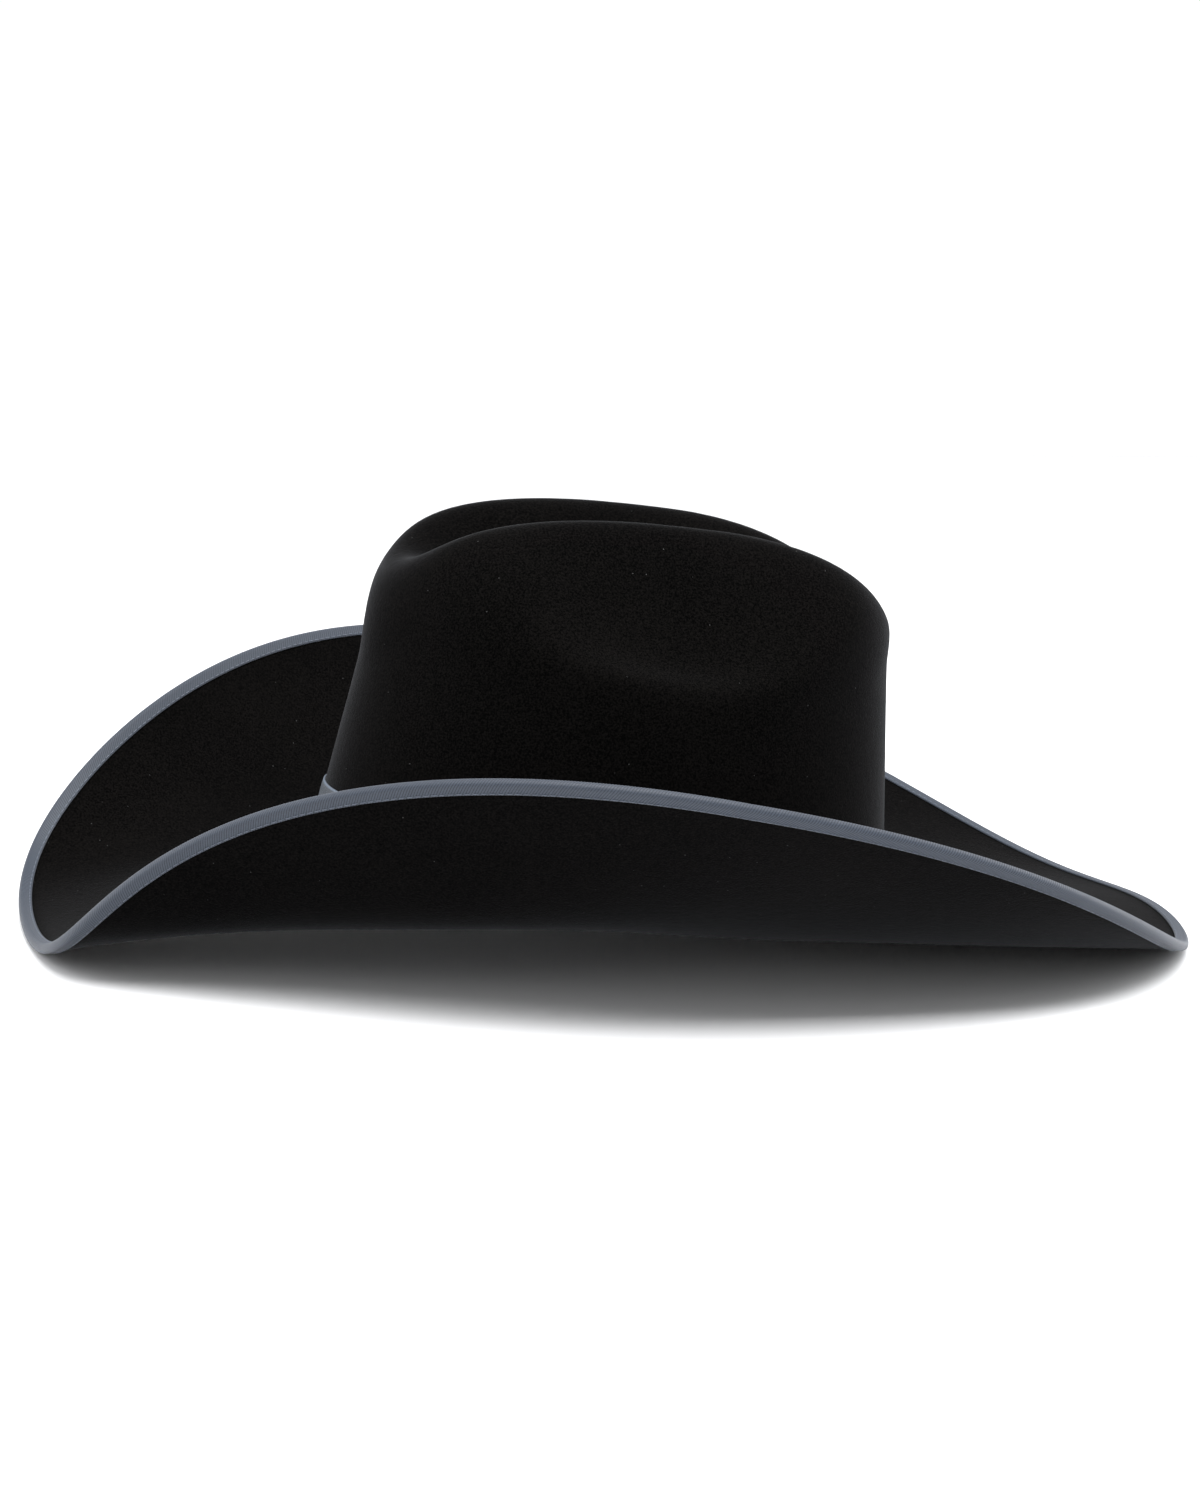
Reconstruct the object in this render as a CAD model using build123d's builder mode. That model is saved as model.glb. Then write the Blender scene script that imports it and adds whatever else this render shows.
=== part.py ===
"""Cowboy hat: cattleman crown, curled brim, ribbon-bound edge.

+X is the front of the hat, +Y the wearer's left, +Z up, in millimetres. The hat stands on
the front and back tips of its brim, and the origin is on that surface, at the middle of
the hat's length and on its plane of symmetry.
"""
from build123d import *
import os
import numpy as np

# ---------------------------------------------------------------- driving dimensions
# Head opening: an oval in the head plane, which leans nose-down over the brim.
CROWN_HALF_LENGTH = 105.6      # outer felt at the foot of the crown
CROWN_HALF_WIDTH = 88.0
CROWN_CENTRE_X = -4.5
CROWN_FOOT_HEIGHT = 18.63       # above the resting surface, at the crown's centre
HEAD_TILT = 6.58                # degrees, front lower than back
END_TAPER = 0.132              # inward run per unit of height, front and back
SIDE_TAPER = 0.132             # the same, on the flanks

FELT = 2.4                     # felt thickness
BREAK_RADIUS = 5.0             # length of the bend between crown and brim

# Brim edge, at 22.5 degree steps from the front tip (0) round to the back tip (180).
BRIM_HALF_LENGTH = 209.4
BRIM_BLUNT = ((0.13, -0.04), (0.28, -0.29))   # front and back ends, squarer than an ellipse
BRIM_SPREAD = (167.7, 170.4, 187.1, 187.6, 186.1, 175.5, 153.5, 182.1, 229.4)     # half width / sin(angle)
BRIM_HEIGHT = (3.76, 4.43, 24.4, 55.9, 78.7, 84.1, 59.9, 20.3, 3.36)
BRIM_START = (0.0, -3.3, -1.2, 9.2, 10.5, -7.4, -21.5, -25.6, -20.5)  # slope at crown, deg
BRIM_FLAT = (49.5, 49, 46, 48.5, 46, 49, 59, 54, 50)                  # run before the curl

# Crown top, in the head plane's own axes (x forward, y left, h up the crown).
WALL_TOP = (97, 87, 82, 78, 76, 77, 74, 78, 68)    # height of the plain wall, by angle
RIDGE_HEIGHT = 133.8           # highest line of the crown
RIDGE_PEAK_X = 16.0
RIDGE_HALF_GAP = 35.5          # centre crease to each ridge
RIDGE_FALL = (9.3, 13.6)       # drop of the ridge line ahead of and behind its peak
CREASE_DEPTH = 30.0
CREASE_HALF_LENGTH = 62.0      # the crease line before it runs out at each end
DENT_HALF_LENGTH = 80.0        # side dents, centred on the foot
DENT_SPAN = (37.0, 71.0)       # from the ridge out to the ledge
DENT_DEPTH = 46.5
SHOULDER = 3.8                 # superellipse exponent of the crown's shoulder

# Ribbon binding folded over the edge of the brim, and its two stitch lines.
BINDING_WIDTH = 3.5            # on each face of the brim
BINDING_THICKNESS = 0.6
STITCH_INSET = 0.7             # stitch line to the ribbon's margin
THREAD = 0.26

# Ribbon round the crown, with its flat bow on the left.
BAND_FOOT = 4.6
BAND_WIDTH = 19.1
BAND_THICKNESS = 0.8
GAP = 0.1                      # ribbon to felt
BOW_HALF_LENGTH = 31.0
BOW_WIDTH = 17.0
BOW_THICKNESS = 1.6            # folded ribbon, two layers
BOW_X = -12.0                  # middle of the bow, along the left flank
KNOT_HALF_WIDTH = 5.5

# Inside, as offsets from the crown's outer wall. Lining against the felt, reed and its
# tape at the mouth, and the leather that stands in front of them.
INNER_WALL = -(FELT + 0.02)    # a touch over the felt: the wall leans
LINING = (INNER_WALL - 0.15, INNER_WALL - 0.55)
LINING_HEIGHTS = (16.0, 70.0)
LINING_TIP = 0.6
SHIELD = (62.0, 46.0, 0.3)     # half length, half width, thickness
PIPING = 1.2
TAPE = (INNER_WALL - 0.05, INNER_WALL - 0.35)
TAPE_HEIGHTS = (1.0, 9.0)
REED = 1.5
REED_OFFSET = INNER_WALL - 1.15
REED_HEIGHT = 2.2
LEATHER = (INNER_WALL - 2.0, INNER_WALL - 3.2)
LEATHER_HEIGHTS = (0.6, 45.0)
LEATHER_STITCH_HEIGHT = 3.6
SEAM_HALF_WIDTH = 4.0          # strip over the leather's joint, at the back
INSIDE_BOW_HALF_WIDTH = 13.0
LABEL = (-62.0, -40.0)         # ends of the size label, along the left flank

SPANS = 60                     # divisions of each half, front to back
EDGE_ROWS = (0.0, 1.2, 2.1, BINDING_WIDTH - STITCH_INSET, BINDING_WIDTH)
ROWS = (13, 4, 3, 24)          # divisions of brim, bend, wall and crown top

# ---------------------------------------------------------------- shape of the felt
tilt = np.radians(HEAD_TILT)
forward = np.array([np.cos(tilt), 0, -np.sin(tilt)])
upward = np.array([np.sin(tilt), 0, np.cos(tilt)])
left = np.array([0, 1.0, 0])
foot_centre = np.array([CROWN_CENTRE_X, 0, CROWN_FOOT_HEIGHT])


def in_head(x, y, h):
    """World position of a point given in the head plane's axes."""
    return foot_centre + np.multiply.outer(x, forward) + np.multiply.outer(y, left) \
        + np.multiply.outer(h, upward)


def around(values, angle):
    """Smooth, front-to-back symmetric curve through equally spaced values."""
    n = len(values) - 1
    ends = np.ones(n + 1)
    ends[[0, -1]] = 0.5
    k = np.arange(n + 1)
    table = np.cos(np.outer(k, k) * np.pi / n)
    weights = 2 / n * ends * (table @ (ends * np.array(values, float)))
    return float(weights @ np.cos(k * angle))


def top_height(x, y):
    """Height of the crown top over the head plane: ridges, crease and side dents."""
    ahead = np.clip(x - RIDGE_PEAK_X, 0, None) / 58
    behind = np.clip(RIDGE_PEAK_X - x, 0, None) / 106
    ridge = RIDGE_HEIGHT - RIDGE_FALL[0] * ahead ** 2 - RIDGE_FALL[1] * behind ** 2.6
    across = np.clip(1 - (y / RIDGE_HALF_GAP) ** 2, 0, None) ** 2
    along = np.clip(1 - np.abs(x / 100) ** 3, 0, None)
    fade = np.clip(1 - np.abs(x / DENT_HALF_LENGTH) ** 2.4, 0, None) ** 1.3
    out = np.clip((np.abs(y) - DENT_SPAN[0]) / (DENT_SPAN[1] - DENT_SPAN[0]), 0, 1)
    return ridge - CREASE_DEPTH * along * across - DENT_DEPTH * fade * out ** 2 * (3 - 2 * out)


def resample(line, count):
    """Points along a polyline: evenly spaced, or at the given distances from its start."""
    steps = np.r_[0, np.cumsum(np.linalg.norm(np.diff(line, axis=0), axis=1))]
    at = np.linspace(0, steps[-1], count + 1) if np.isscalar(count) else np.array(count)
    return np.stack([np.interp(at, steps, line[:, i]) for i in range(3)], 1)


def bend(start, corner, end, count=60):
    """Quadratic curve from start to end, leaving along the corner."""
    t = np.linspace(0, 1, count)[:, None]
    return (1 - t) ** 2 * start + 2 * t * (1 - t) * corner + t ** 2 * end


def profile(angle):
    """Top surface from the brim's edge to the crease line, at one angle."""
    c, s = np.cos(angle), np.sin(angle)
    blunt = BRIM_BLUNT[0] if c > 0 else BRIM_BLUNT[1]
    reach = BRIM_HALF_LENGTH * (1 + blunt[0] * s ** 2 + blunt[1] * s ** 4)
    edge = np.array([reach * c, around(BRIM_SPREAD, angle) * s,
                     around(BRIM_HEIGHT, angle)])
    foot = in_head(CROWN_HALF_LENGTH * c, CROWN_HALF_WIDTH * s, 0)
    flat = edge - foot
    flat[2] = 0
    flat /= np.linalg.norm(flat)
    slope = np.radians(around(BRIM_START, angle))
    corner = foot + around(BRIM_FLAT, angle) * (flat * np.cos(slope) + [0, 0, np.sin(slope)])
    brim = bend(edge, corner, foot, 800)

    wall_top = around(WALL_TOP, angle)
    h = np.linspace(0, wall_top, 200)
    wall = in_head((CROWN_HALF_LENGTH - END_TAPER * h) * c,
                   (CROWN_HALF_WIDTH - SIDE_TAPER * h) * s, h)

    t = np.linspace(0, np.pi / 2, 400)
    r, rise = np.cos(t) ** (2 / SHOULDER), np.sin(t) ** (2 / SHOULDER)
    long = CREASE_HALF_LENGTH + (CROWN_HALF_LENGTH - END_TAPER * wall_top
                                 - CREASE_HALF_LENGTH) * r
    x, y = long * c, (CROWN_HALF_WIDTH - SIDE_TAPER * wall_top) * r * s
    y[-1] = 0
    top = in_head(x, y, wall_top + (top_height(x, y) - wall_top) * rise)

    brim = brim[np.linalg.norm(brim - foot, axis=1) > BREAK_RADIUS]
    wall = wall[h > BREAK_RADIUS]
    turn = bend(brim[-1], foot, wall[0])
    edge_zone = resample(brim, EDGE_ROWS)
    run = np.r_[0, np.cumsum(np.linalg.norm(np.diff(brim, axis=0), axis=1))]
    rest = np.concatenate([edge_zone[-1:], brim[run > BINDING_WIDTH]])
    parts = [resample(p, n) for p, n in zip((rest, turn, wall, top), ROWS)]
    return np.concatenate([edge_zone] + [p[1:] for p in parts])


def mirrored(points):
    return points * [1, -1, 1]


def soften(grid, passes=2):
    """Even out the joins of the segments along each profile, above the bend."""
    start = len(EDGE_ROWS) + sum(ROWS[:3]) - 2
    for _ in range(passes):
        wide = np.concatenate([grid, mirrored(grid[:, -2:-3:-1])], 1)
        mean = (wide[:, :-2] + 2 * wide[:, 1:-1] + wide[:, 2:]) / 4
        grid[:, start:] = mean[:, start - 1:]
    return grid


def slopes(before, here, after):
    """Tangents at unevenly spaced points."""
    a, b = here - before, after - here
    la = np.linalg.norm(a, axis=-1, keepdims=True) + 1e-9
    lb = np.linalg.norm(b, axis=-1, keepdims=True) + 1e-9
    return a / la * lb / (la + lb) + b / lb * la / (la + lb)


def surface_normals(grid):
    """Unit normals pointing out of the hat; the other half is the mirror image."""
    ring = np.concatenate([mirrored(grid[1:2]), grid, mirrored(grid[-2:-1])])
    along = slopes(ring[:-2], grid, ring[2:])
    column = np.concatenate([2 * grid[:, :1] - grid[:, 1:2], grid,
                             mirrored(grid[:, -2:-1])], 1)
    up = slopes(column[:, :-2], grid, column[:, 2:])
    along[0], along[-1] = left, -left
    up[1:-1, -1] = -left
    up[[0, -1], -1] = (grid[:, -1] - grid[:, -2])[[0, -1]]
    n = np.cross(along, up)
    n[grid[..., 1] == 0, 1] = 0
    return n / np.linalg.norm(n, axis=2, keepdims=True)


angles = np.linspace(0, np.pi, SPANS + 1)
outer = soften(np.stack([profile(a) for a in angles]))
outer[[0, -1], :, 1] = 0
outer[:, -1, 1] = 0
normals = surface_normals(outer)
inner = outer - FELT * normals


# ---------------------------------------------------------------- skins into solids
def row_edge(row):
    """Spline through one row of the left half, square to the hat's plane of symmetry."""
    points = [Vector(*p) for p in row]
    if np.abs(row[:, 1]).max() == 0:
        return Edge.make_spline(points)
    side = Vector(0, np.sign(row[len(row) // 2, 1]), 0)
    return Edge.make_spline(points, tangents=[side, -side], scale=False)


def skin_solid(rows):
    """Closed solid from rows that follow each other round a section, with its mirror."""
    faces = []
    for half in (rows, [mirrored(r) for r in rows]):
        edges = [row_edge(r) for r in half]
        faces += [Face.make_surface_from_curves(a, b) for a, b in zip(edges, edges[1:])]
    return Solid(Shell(faces))


def edge_section(gap, count=5):
    """Rows round the brim's edge at one distance from the felt, margin to margin."""
    zone = range(len(EDGE_ROWS))
    over = [outer[:, i] + gap * normals[:, i] for i in reversed(zone)]
    under = [inner[:, i] - gap * normals[:, i] for i in zone]
    middle = (outer[:, 0] + inner[:, 0]) / 2
    outward = outer[:, 0] - outer[:, 1]
    outward /= np.linalg.norm(outward, axis=1, keepdims=True)
    reach = FELT / 2 + gap
    turns = np.linspace(np.pi / 2, -np.pi / 2, count + 2)[1:-1]
    fold = [middle + 0.8 * reach * np.cos(t) * outward + reach * np.sin(t) * normals[:, 0]
            for t in turns]
    return over + fold + under


def thread_rows(line, direction):
    """Hexagonal section of a thread lying on a row of the binding."""
    middle = line + (BINDING_THICKNESS + 0.07 + THREAD / 2) * direction
    width = np.cross(np.gradient(middle, axis=0), direction)
    width[[0, -1], 1] = 0
    width /= np.linalg.norm(width, axis=1, keepdims=True)
    turns = np.linspace(0, 2 * np.pi, 7)
    rows = [middle + THREAD / 2 * (np.cos(t) * width + np.sin(t) * direction) for t in turns]
    return rows[:-1] + rows[:1]


os.makedirs("parts", exist_ok=True)
count = outer.shape[1]

with BuildPart() as felt_body:
    add(skin_solid([outer[:, i] for i in reversed(range(count))]
                   + [inner[:, i] for i in range(count)]))

with BuildPart() as brim_binding:
    skin = edge_section(0.05 + BINDING_THICKNESS) + edge_section(0.05)[::-1]
    add(skin_solid(skin + skin[:1]))
low = min(row[:, 2].min() for row in skin)

stitch = EDGE_ROWS.index(BINDING_WIDTH - STITCH_INSET)
with BuildPart() as binding_thread_top:
    add(skin_solid(thread_rows(outer[:, stitch], normals[:, stitch])))
with BuildPart() as binding_thread_under:
    add(skin_solid(thread_rows(inner[:, stitch], -normals[:, stitch])))


# ---------------------------------------------------------------- rings on the crown wall
def wall_plane(h):
    """Plane across the crown, h above the head plane."""
    return Plane(origin=tuple(in_head(0, 0, h)), x_dir=tuple(forward), z_dir=tuple(upward))


def wall_ellipse(h, offset):
    """Half axes of the crown's outer wall at h, moved out by offset."""
    return (CROWN_HALF_LENGTH - END_TAPER * h + offset,
            CROWN_HALF_WIDTH - SIDE_TAPER * h + offset)


def wall_ring(heights, outside, inside):
    """Loft a tapered ring along the wall, in the current part."""
    for offset, mode in ((outside, Mode.ADD), (inside, Mode.SUBTRACT)):
        sections = []
        for h in heights:
            with BuildSketch(wall_plane(h)) as section:
                Ellipse(*wall_ellipse(h, offset))
            sections.append(section.sketch)
        loft(sections, mode=mode)


def keep_window(x_range, y_range):
    """Cut the current part down to a window in the head plane's axes."""
    middle = (sum(x_range) / 2, sum(y_range) / 2)
    with BuildSketch(wall_plane(-20)) as window:
        with Locations(middle):
            Rectangle(x_range[1] - x_range[0], y_range[1] - y_range[0])
    extrude(window.sketch, amount=150, mode=Mode.INTERSECT)


def wall_cord(h, offset, diameter):
    """Round cord lying along the wall, in the current part."""
    along, across = wall_ellipse(h, offset)
    path = Edge.make_ellipse(along, across, wall_plane(h))
    with BuildSketch(Plane(origin=path @ 0, z_dir=path % 0)) as section:
        Circle(diameter / 2)
    sweep(section.sketch, path=path)


with BuildPart() as hat_band:
    wall_ring((BAND_FOOT, BAND_FOOT + BAND_WIDTH), GAP + BAND_THICKNESS, GAP)

bow_foot = BAND_FOOT + (BAND_WIDTH - BOW_WIDTH) / 2
bow_skin = GAP + BAND_THICKNESS + 0.05
with BuildPart() as bow_loops:
    wall_ring((bow_foot, bow_foot + BOW_WIDTH), bow_skin + BOW_THICKNESS, bow_skin)
    keep_window((BOW_X - BOW_HALF_LENGTH, BOW_X + BOW_HALF_LENGTH), (40, 120))
with BuildPart() as bow_knot:
    wall_ring((bow_foot - 0.8, bow_foot + BOW_WIDTH + 0.8),
              bow_skin + BOW_THICKNESS + 0.85, bow_skin + BOW_THICKNESS + 0.05)
    keep_window((BOW_X - KNOT_HALF_WIDTH, BOW_X + KNOT_HALF_WIDTH), (40, 120))

with BuildPart() as reed_tape:
    wall_ring(TAPE_HEIGHTS, *TAPE)
with BuildPart() as reed:
    wall_cord(REED_HEIGHT, REED_OFFSET, REED)

with BuildPart() as sweatband:
    wall_ring(LEATHER_HEIGHTS, *LEATHER)
face = LEATHER[1] - 0.03
with BuildPart() as sweatband_thread:
    wall_ring((LEATHER_STITCH_HEIGHT, LEATHER_STITCH_HEIGHT + 0.4), face, face - 0.3)
with BuildPart() as sweatband_seam_strip:
    wall_ring((LEATHER_STITCH_HEIGHT + 1, LEATHER_HEIGHTS[1] - 1), face, face - 0.4)
    keep_window((-120, -60), (-SEAM_HALF_WIDTH, SEAM_HALF_WIDTH))
with BuildPart() as sweatband_bow:
    wall_ring((7, 13), face - 0.45, face - 1.45)
    keep_window((-120, -60), (-INSIDE_BOW_HALF_WIDTH, INSIDE_BOW_HALF_WIDTH))
with BuildPart() as size_label:
    wall_ring((12, 26), face, face - 0.25)
    keep_window(LABEL, (40, 120))

with BuildPart() as lining_side:
    wall_ring(LINING_HEIGHTS, *LINING)
with BuildPart() as lining_piping:
    wall_cord(LINING_HEIGHTS[1] - PIPING / 2 - 0.1, LINING[1] - PIPING / 2 - 0.05, PIPING)
tip_foot = LINING_HEIGHTS[1] + 0.05
with BuildPart() as lining_tip:
    with BuildSketch(wall_plane(tip_foot)):
        Ellipse(*wall_ellipse(tip_foot, LINING[0]))
    extrude(amount=LINING_TIP)
with BuildPart() as tip_shield:
    with BuildSketch(wall_plane(tip_foot - 0.05)):
        Ellipse(SHIELD[0], SHIELD[1])
    extrude(amount=-SHIELD[2])

pieces = dict(
    felt_body=felt_body, brim_binding=brim_binding, binding_thread_top=binding_thread_top,
    binding_thread_under=binding_thread_under, hat_band=hat_band, bow_loops=bow_loops,
    bow_knot=bow_knot, reed_tape=reed_tape, reed=reed, sweatband=sweatband,
    sweatband_thread=sweatband_thread, sweatband_seam_strip=sweatband_seam_strip,
    sweatband_bow=sweatband_bow, size_label=size_label, lining_side=lining_side,
    lining_piping=lining_piping, lining_tip=lining_tip, tip_shield=tip_shield)
for name, piece in pieces.items():
    piece.part.label = name
    export_step(piece.part, f"parts/{name}.step")
    box = piece.part.bounding_box()
    print(f"{name:22} valid {piece.part.is_valid} solids {len(piece.part.solids())} "
          f"{piece.part.volume:10.0f} mm3  z {box.min.Z:.2f} to {box.max.Z:.2f}")
print(f"lowest point {low:.3f}")
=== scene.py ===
# %% [markdown]
# # A black felt cowboy hat
#
# This lesson dresses a hat whose solid pieces are already made: felt body, edge ribbon,
# hat band, bow, leather sweatband, reed and lining. The first cell loads those pieces as a
# fixed frame. Everything that follows is built in metres in that same frame, with +X to
# the front of the hat, +Y to the wearer's left and +Z up.

# %% Load the frame
import math

import bpy
import numpy as np
from mathutils import Matrix, Vector


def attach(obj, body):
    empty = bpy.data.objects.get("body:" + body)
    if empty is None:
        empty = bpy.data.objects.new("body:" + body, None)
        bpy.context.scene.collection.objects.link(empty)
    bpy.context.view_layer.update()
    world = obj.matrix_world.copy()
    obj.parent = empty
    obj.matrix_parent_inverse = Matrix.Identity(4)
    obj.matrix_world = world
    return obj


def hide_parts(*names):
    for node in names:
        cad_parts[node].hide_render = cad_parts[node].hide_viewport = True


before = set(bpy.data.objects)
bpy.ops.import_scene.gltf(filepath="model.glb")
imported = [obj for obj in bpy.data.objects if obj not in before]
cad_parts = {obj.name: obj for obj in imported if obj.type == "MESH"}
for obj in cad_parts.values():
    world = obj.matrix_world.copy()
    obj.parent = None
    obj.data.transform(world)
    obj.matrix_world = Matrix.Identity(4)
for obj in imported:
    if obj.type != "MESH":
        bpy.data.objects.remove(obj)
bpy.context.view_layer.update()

MM = 0.001
print("frame nodes:", sorted(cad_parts))

# %% [markdown]
# ## The hat's shape as a few curves
#
# A felt hat is one sheet of felt, blocked into a crown and flanged into a brim. It could be
# sculpted by hand, but a hat is really designed by its profile: from the brim's edge,
# up the curl, round the bend, up the wall, over the ridge and down into the crease. So the
# profile is written as one function of the angle round the head, with the same
# dimensions as the solid pieces, and the skin is that profile swept once round.

# %% Dimensions of the block and the flange, in millimetres
CROWN_HALF_LENGTH, CROWN_HALF_WIDTH = 105.6, 88.0
CROWN_CENTRE_X, CROWN_FOOT_HEIGHT = -4.5, 18.63
END_TAPER, SIDE_TAPER = 0.132, 0.132
FELT, BREAK_RADIUS = 2.4, 5.0
BRIM_HALF_LENGTH = 209.4
BRIM_BLUNT = ((0.13, -0.04), (0.28, -0.29))
BRIM_SPREAD = (167.7, 170.4, 187.1, 187.6, 186.1, 175.5, 153.5, 182.1, 229.4)
BRIM_HEIGHT = (3.76, 4.43, 24.4, 55.9, 78.7, 84.1, 59.9, 20.3, 3.36)
BRIM_START = (0.0, -3.3, -1.2, 9.2, 10.5, -7.4, -21.5, -25.6, -20.5)
BRIM_FLAT = (49.5, 49, 46, 48.5, 46, 49, 59, 54, 50)
WALL_TOP = (97, 87, 82, 78, 76, 77, 74, 78, 68)
RIDGE_HEIGHT, RIDGE_PEAK_X, RIDGE_HALF_GAP = 133.8, 16.0, 35.5
RIDGE_FALL = (9.3, 13.6)
CREASE_DEPTH, CREASE_HALF_LENGTH = 30.0, 62.0
DENT_HALF_LENGTH, DENT_SPAN, DENT_DEPTH = 80.0, (37.0, 71.0), 46.5
SHOULDER = 3.8
HEAD_TILT = 6.58               # degrees that the head plane leans down at the front

# Rows of the skin: distances in from the brim's edge, then counts for the rest of the brim,
# the bend, the wall and the top.
EDGE_ROWS = (0.0, 0.6, 1.2, 1.8, 2.3, 2.8, 3.0, 3.25, 3.5)
ROWS = (40, 10, 16, 64)

tilt = math.radians(HEAD_TILT)
forward = np.array([math.cos(tilt), 0, -math.sin(tilt)])
upward = np.array([math.sin(tilt), 0, math.cos(tilt)])
left = np.array([0, 1.0, 0])
foot_centre = np.array([CROWN_CENTRE_X, 0, CROWN_FOOT_HEIGHT])


def in_head(x, y, h):
    """World position, in millimetres, of a point given in the head plane's axes."""
    return (foot_centre + np.multiply.outer(x, forward) + np.multiply.outer(y, left)
            + np.multiply.outer(h, upward))


def around(values, angle):
    """Smooth curve through values given at even steps from the front tip to the back."""
    n = len(values) - 1
    ends = np.ones(n + 1)
    ends[[0, -1]] = 0.5
    k = np.arange(n + 1)
    weights = 2 / n * ends * (np.cos(np.outer(k, k) * np.pi / n) @ (ends * np.array(values, float)))
    return float(weights @ np.cos(k * angle))


print("overall length", round(2 * BRIM_HALF_LENGTH), "mm of felt")


# %% [markdown]
# ## The cattleman crease
#
# The crown starts as a plain dome. The hatter presses one long crease down the middle,
# which leaves a ridge each side of it, and a dent in each flank below the ridge. Here the
# crown top is a height over the head plane: a gently bowed ridge line, less the crease,
# less the two dents. A superellipse then rounds it into the plain wall.

# %% Crown top
RIDGE_REACH = (58, 106)        # from the ridge's peak forward and back to where it falls
CREASE_REACH = 100


def top_height(x, y):
    """Height of the crown's top over the head plane."""
    ahead = np.clip(x - RIDGE_PEAK_X, 0, None) / RIDGE_REACH[0]
    behind = np.clip(RIDGE_PEAK_X - x, 0, None) / RIDGE_REACH[1]
    ridge = RIDGE_HEIGHT - RIDGE_FALL[0] * ahead ** 2 - RIDGE_FALL[1] * behind ** 2.6
    across = np.clip(1 - (y / RIDGE_HALF_GAP) ** 2, 0, None) ** 2
    along = np.clip(1 - np.abs(x / CREASE_REACH) ** 3, 0, None)
    fade = np.clip(1 - np.abs(x / DENT_HALF_LENGTH) ** 2.4, 0, None) ** 1.3
    out = np.clip((np.abs(y) - DENT_SPAN[0]) / (DENT_SPAN[1] - DENT_SPAN[0]), 0, 1)
    return ridge - CREASE_DEPTH * along * across - DENT_DEPTH * fade * out ** 2 * (3 - 2 * out)


print("height on the ridge", round(float(top_height(RIDGE_PEAK_X, RIDGE_HALF_GAP)), 1), "mm")


# %% [markdown]
# ## One profile, from the brim's edge to the crease
#
# Brim, bend, wall and top are four curves that end where the next begins. The brim and the
# bend are quadratic curves with one corner point each, enough for a curl that bends one
# way. Each is read off again at even steps, so every profile has the same rows and the
# profiles join up into a grid.

# %% The full profile
BRIM_STEPS, WALL_STEPS, TOP_STEPS, BEND_STEPS = 800, 200, 400, 60
SPANS = 240                    # profiles from the front tip to the back tip


def resample(line, count):
    """Points along a polyline: evenly spaced, or at given distances from its start."""
    steps = np.r_[0, np.cumsum(np.linalg.norm(np.diff(line, axis=0), axis=1))]
    at = np.linspace(0, steps[-1], count + 1) if np.isscalar(count) else np.array(count)
    return np.stack([np.interp(at, steps, line[:, i]) for i in range(3)], 1)


def bend(start, corner, end, count=BEND_STEPS):
    """Quadratic curve pulled towards a corner point."""
    t = np.linspace(0, 1, count)[:, None]
    return (1 - t) ** 2 * start + 2 * t * (1 - t) * corner + t ** 2 * end


def profile(angle):
    """Top skin from the brim's edge to the crease line, at one angle from the front."""
    c, s = np.cos(angle), np.sin(angle)
    blunt = BRIM_BLUNT[0] if c > 0 else BRIM_BLUNT[1]
    reach = BRIM_HALF_LENGTH * (1 + blunt[0] * s ** 2 + blunt[1] * s ** 4)
    edge = np.array([reach * c, around(BRIM_SPREAD, angle) * s,
                     around(BRIM_HEIGHT, angle)])
    foot = in_head(CROWN_HALF_LENGTH * c, CROWN_HALF_WIDTH * s, 0)
    flat = edge - foot
    flat[2] = 0
    flat /= np.linalg.norm(flat)
    slope = np.radians(around(BRIM_START, angle))
    corner = foot + around(BRIM_FLAT, angle) * (flat * np.cos(slope) + [0, 0, np.sin(slope)])
    brim = bend(edge, corner, foot, BRIM_STEPS)

    wall_top = around(WALL_TOP, angle)
    h = np.linspace(0, wall_top, WALL_STEPS)
    wall = in_head((CROWN_HALF_LENGTH - END_TAPER * h) * c,
                   (CROWN_HALF_WIDTH - SIDE_TAPER * h) * s, h)
    t = np.linspace(0, np.pi / 2, TOP_STEPS)
    r, rise = np.cos(t) ** (2 / SHOULDER), np.sin(t) ** (2 / SHOULDER)
    long = CREASE_HALF_LENGTH + (CROWN_HALF_LENGTH - END_TAPER * wall_top
                                 - CREASE_HALF_LENGTH) * r
    x, y = long * c, (CROWN_HALF_WIDTH - SIDE_TAPER * wall_top) * r * s
    y[-1] = 0
    top = in_head(x, y, wall_top + (top_height(x, y) - wall_top) * rise)

    brim = brim[np.linalg.norm(brim - foot, axis=1) > BREAK_RADIUS]
    wall = wall[h > BREAK_RADIUS]
    turn = bend(brim[-1], foot, wall[0])
    run = np.r_[0, np.cumsum(np.linalg.norm(np.diff(brim, axis=0), axis=1))]
    edge_zone = resample(brim, EDGE_ROWS)
    rest = np.concatenate([edge_zone[-1:], brim[run > EDGE_ROWS[-1]]])
    parts = [resample(p, n) for p, n in zip((rest, turn, wall, top), ROWS)]
    return np.concatenate([edge_zone] + [p[1:] for p in parts])


half = np.stack([profile(a) for a in np.linspace(0, np.pi, SPANS + 1)])
half[[0, -1], :, 1] = 0
half[:, -1, 1] = 0
print("profile grid", half.shape)


# %% [markdown]
# ## Rounding the shoulder and finding normals
#
# Where two pieces of the profile meet there is a faint corner. Averaging each point with
# its neighbours a few times melts the corner as steam does on the block. The normals are
# then taken from the grid itself, so that felt thickness, ribbon and stitches can all be
# laid at exact distances from one skin.

# %% Skin grid for the whole hat
def mirrored(points):
    """The same points on the other side of the hat."""
    return points * [1, -1, 1]


SHOULDER_ROWS = 6              # rows of wall below the top that are softened with it
SOFTENING = 6


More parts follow.
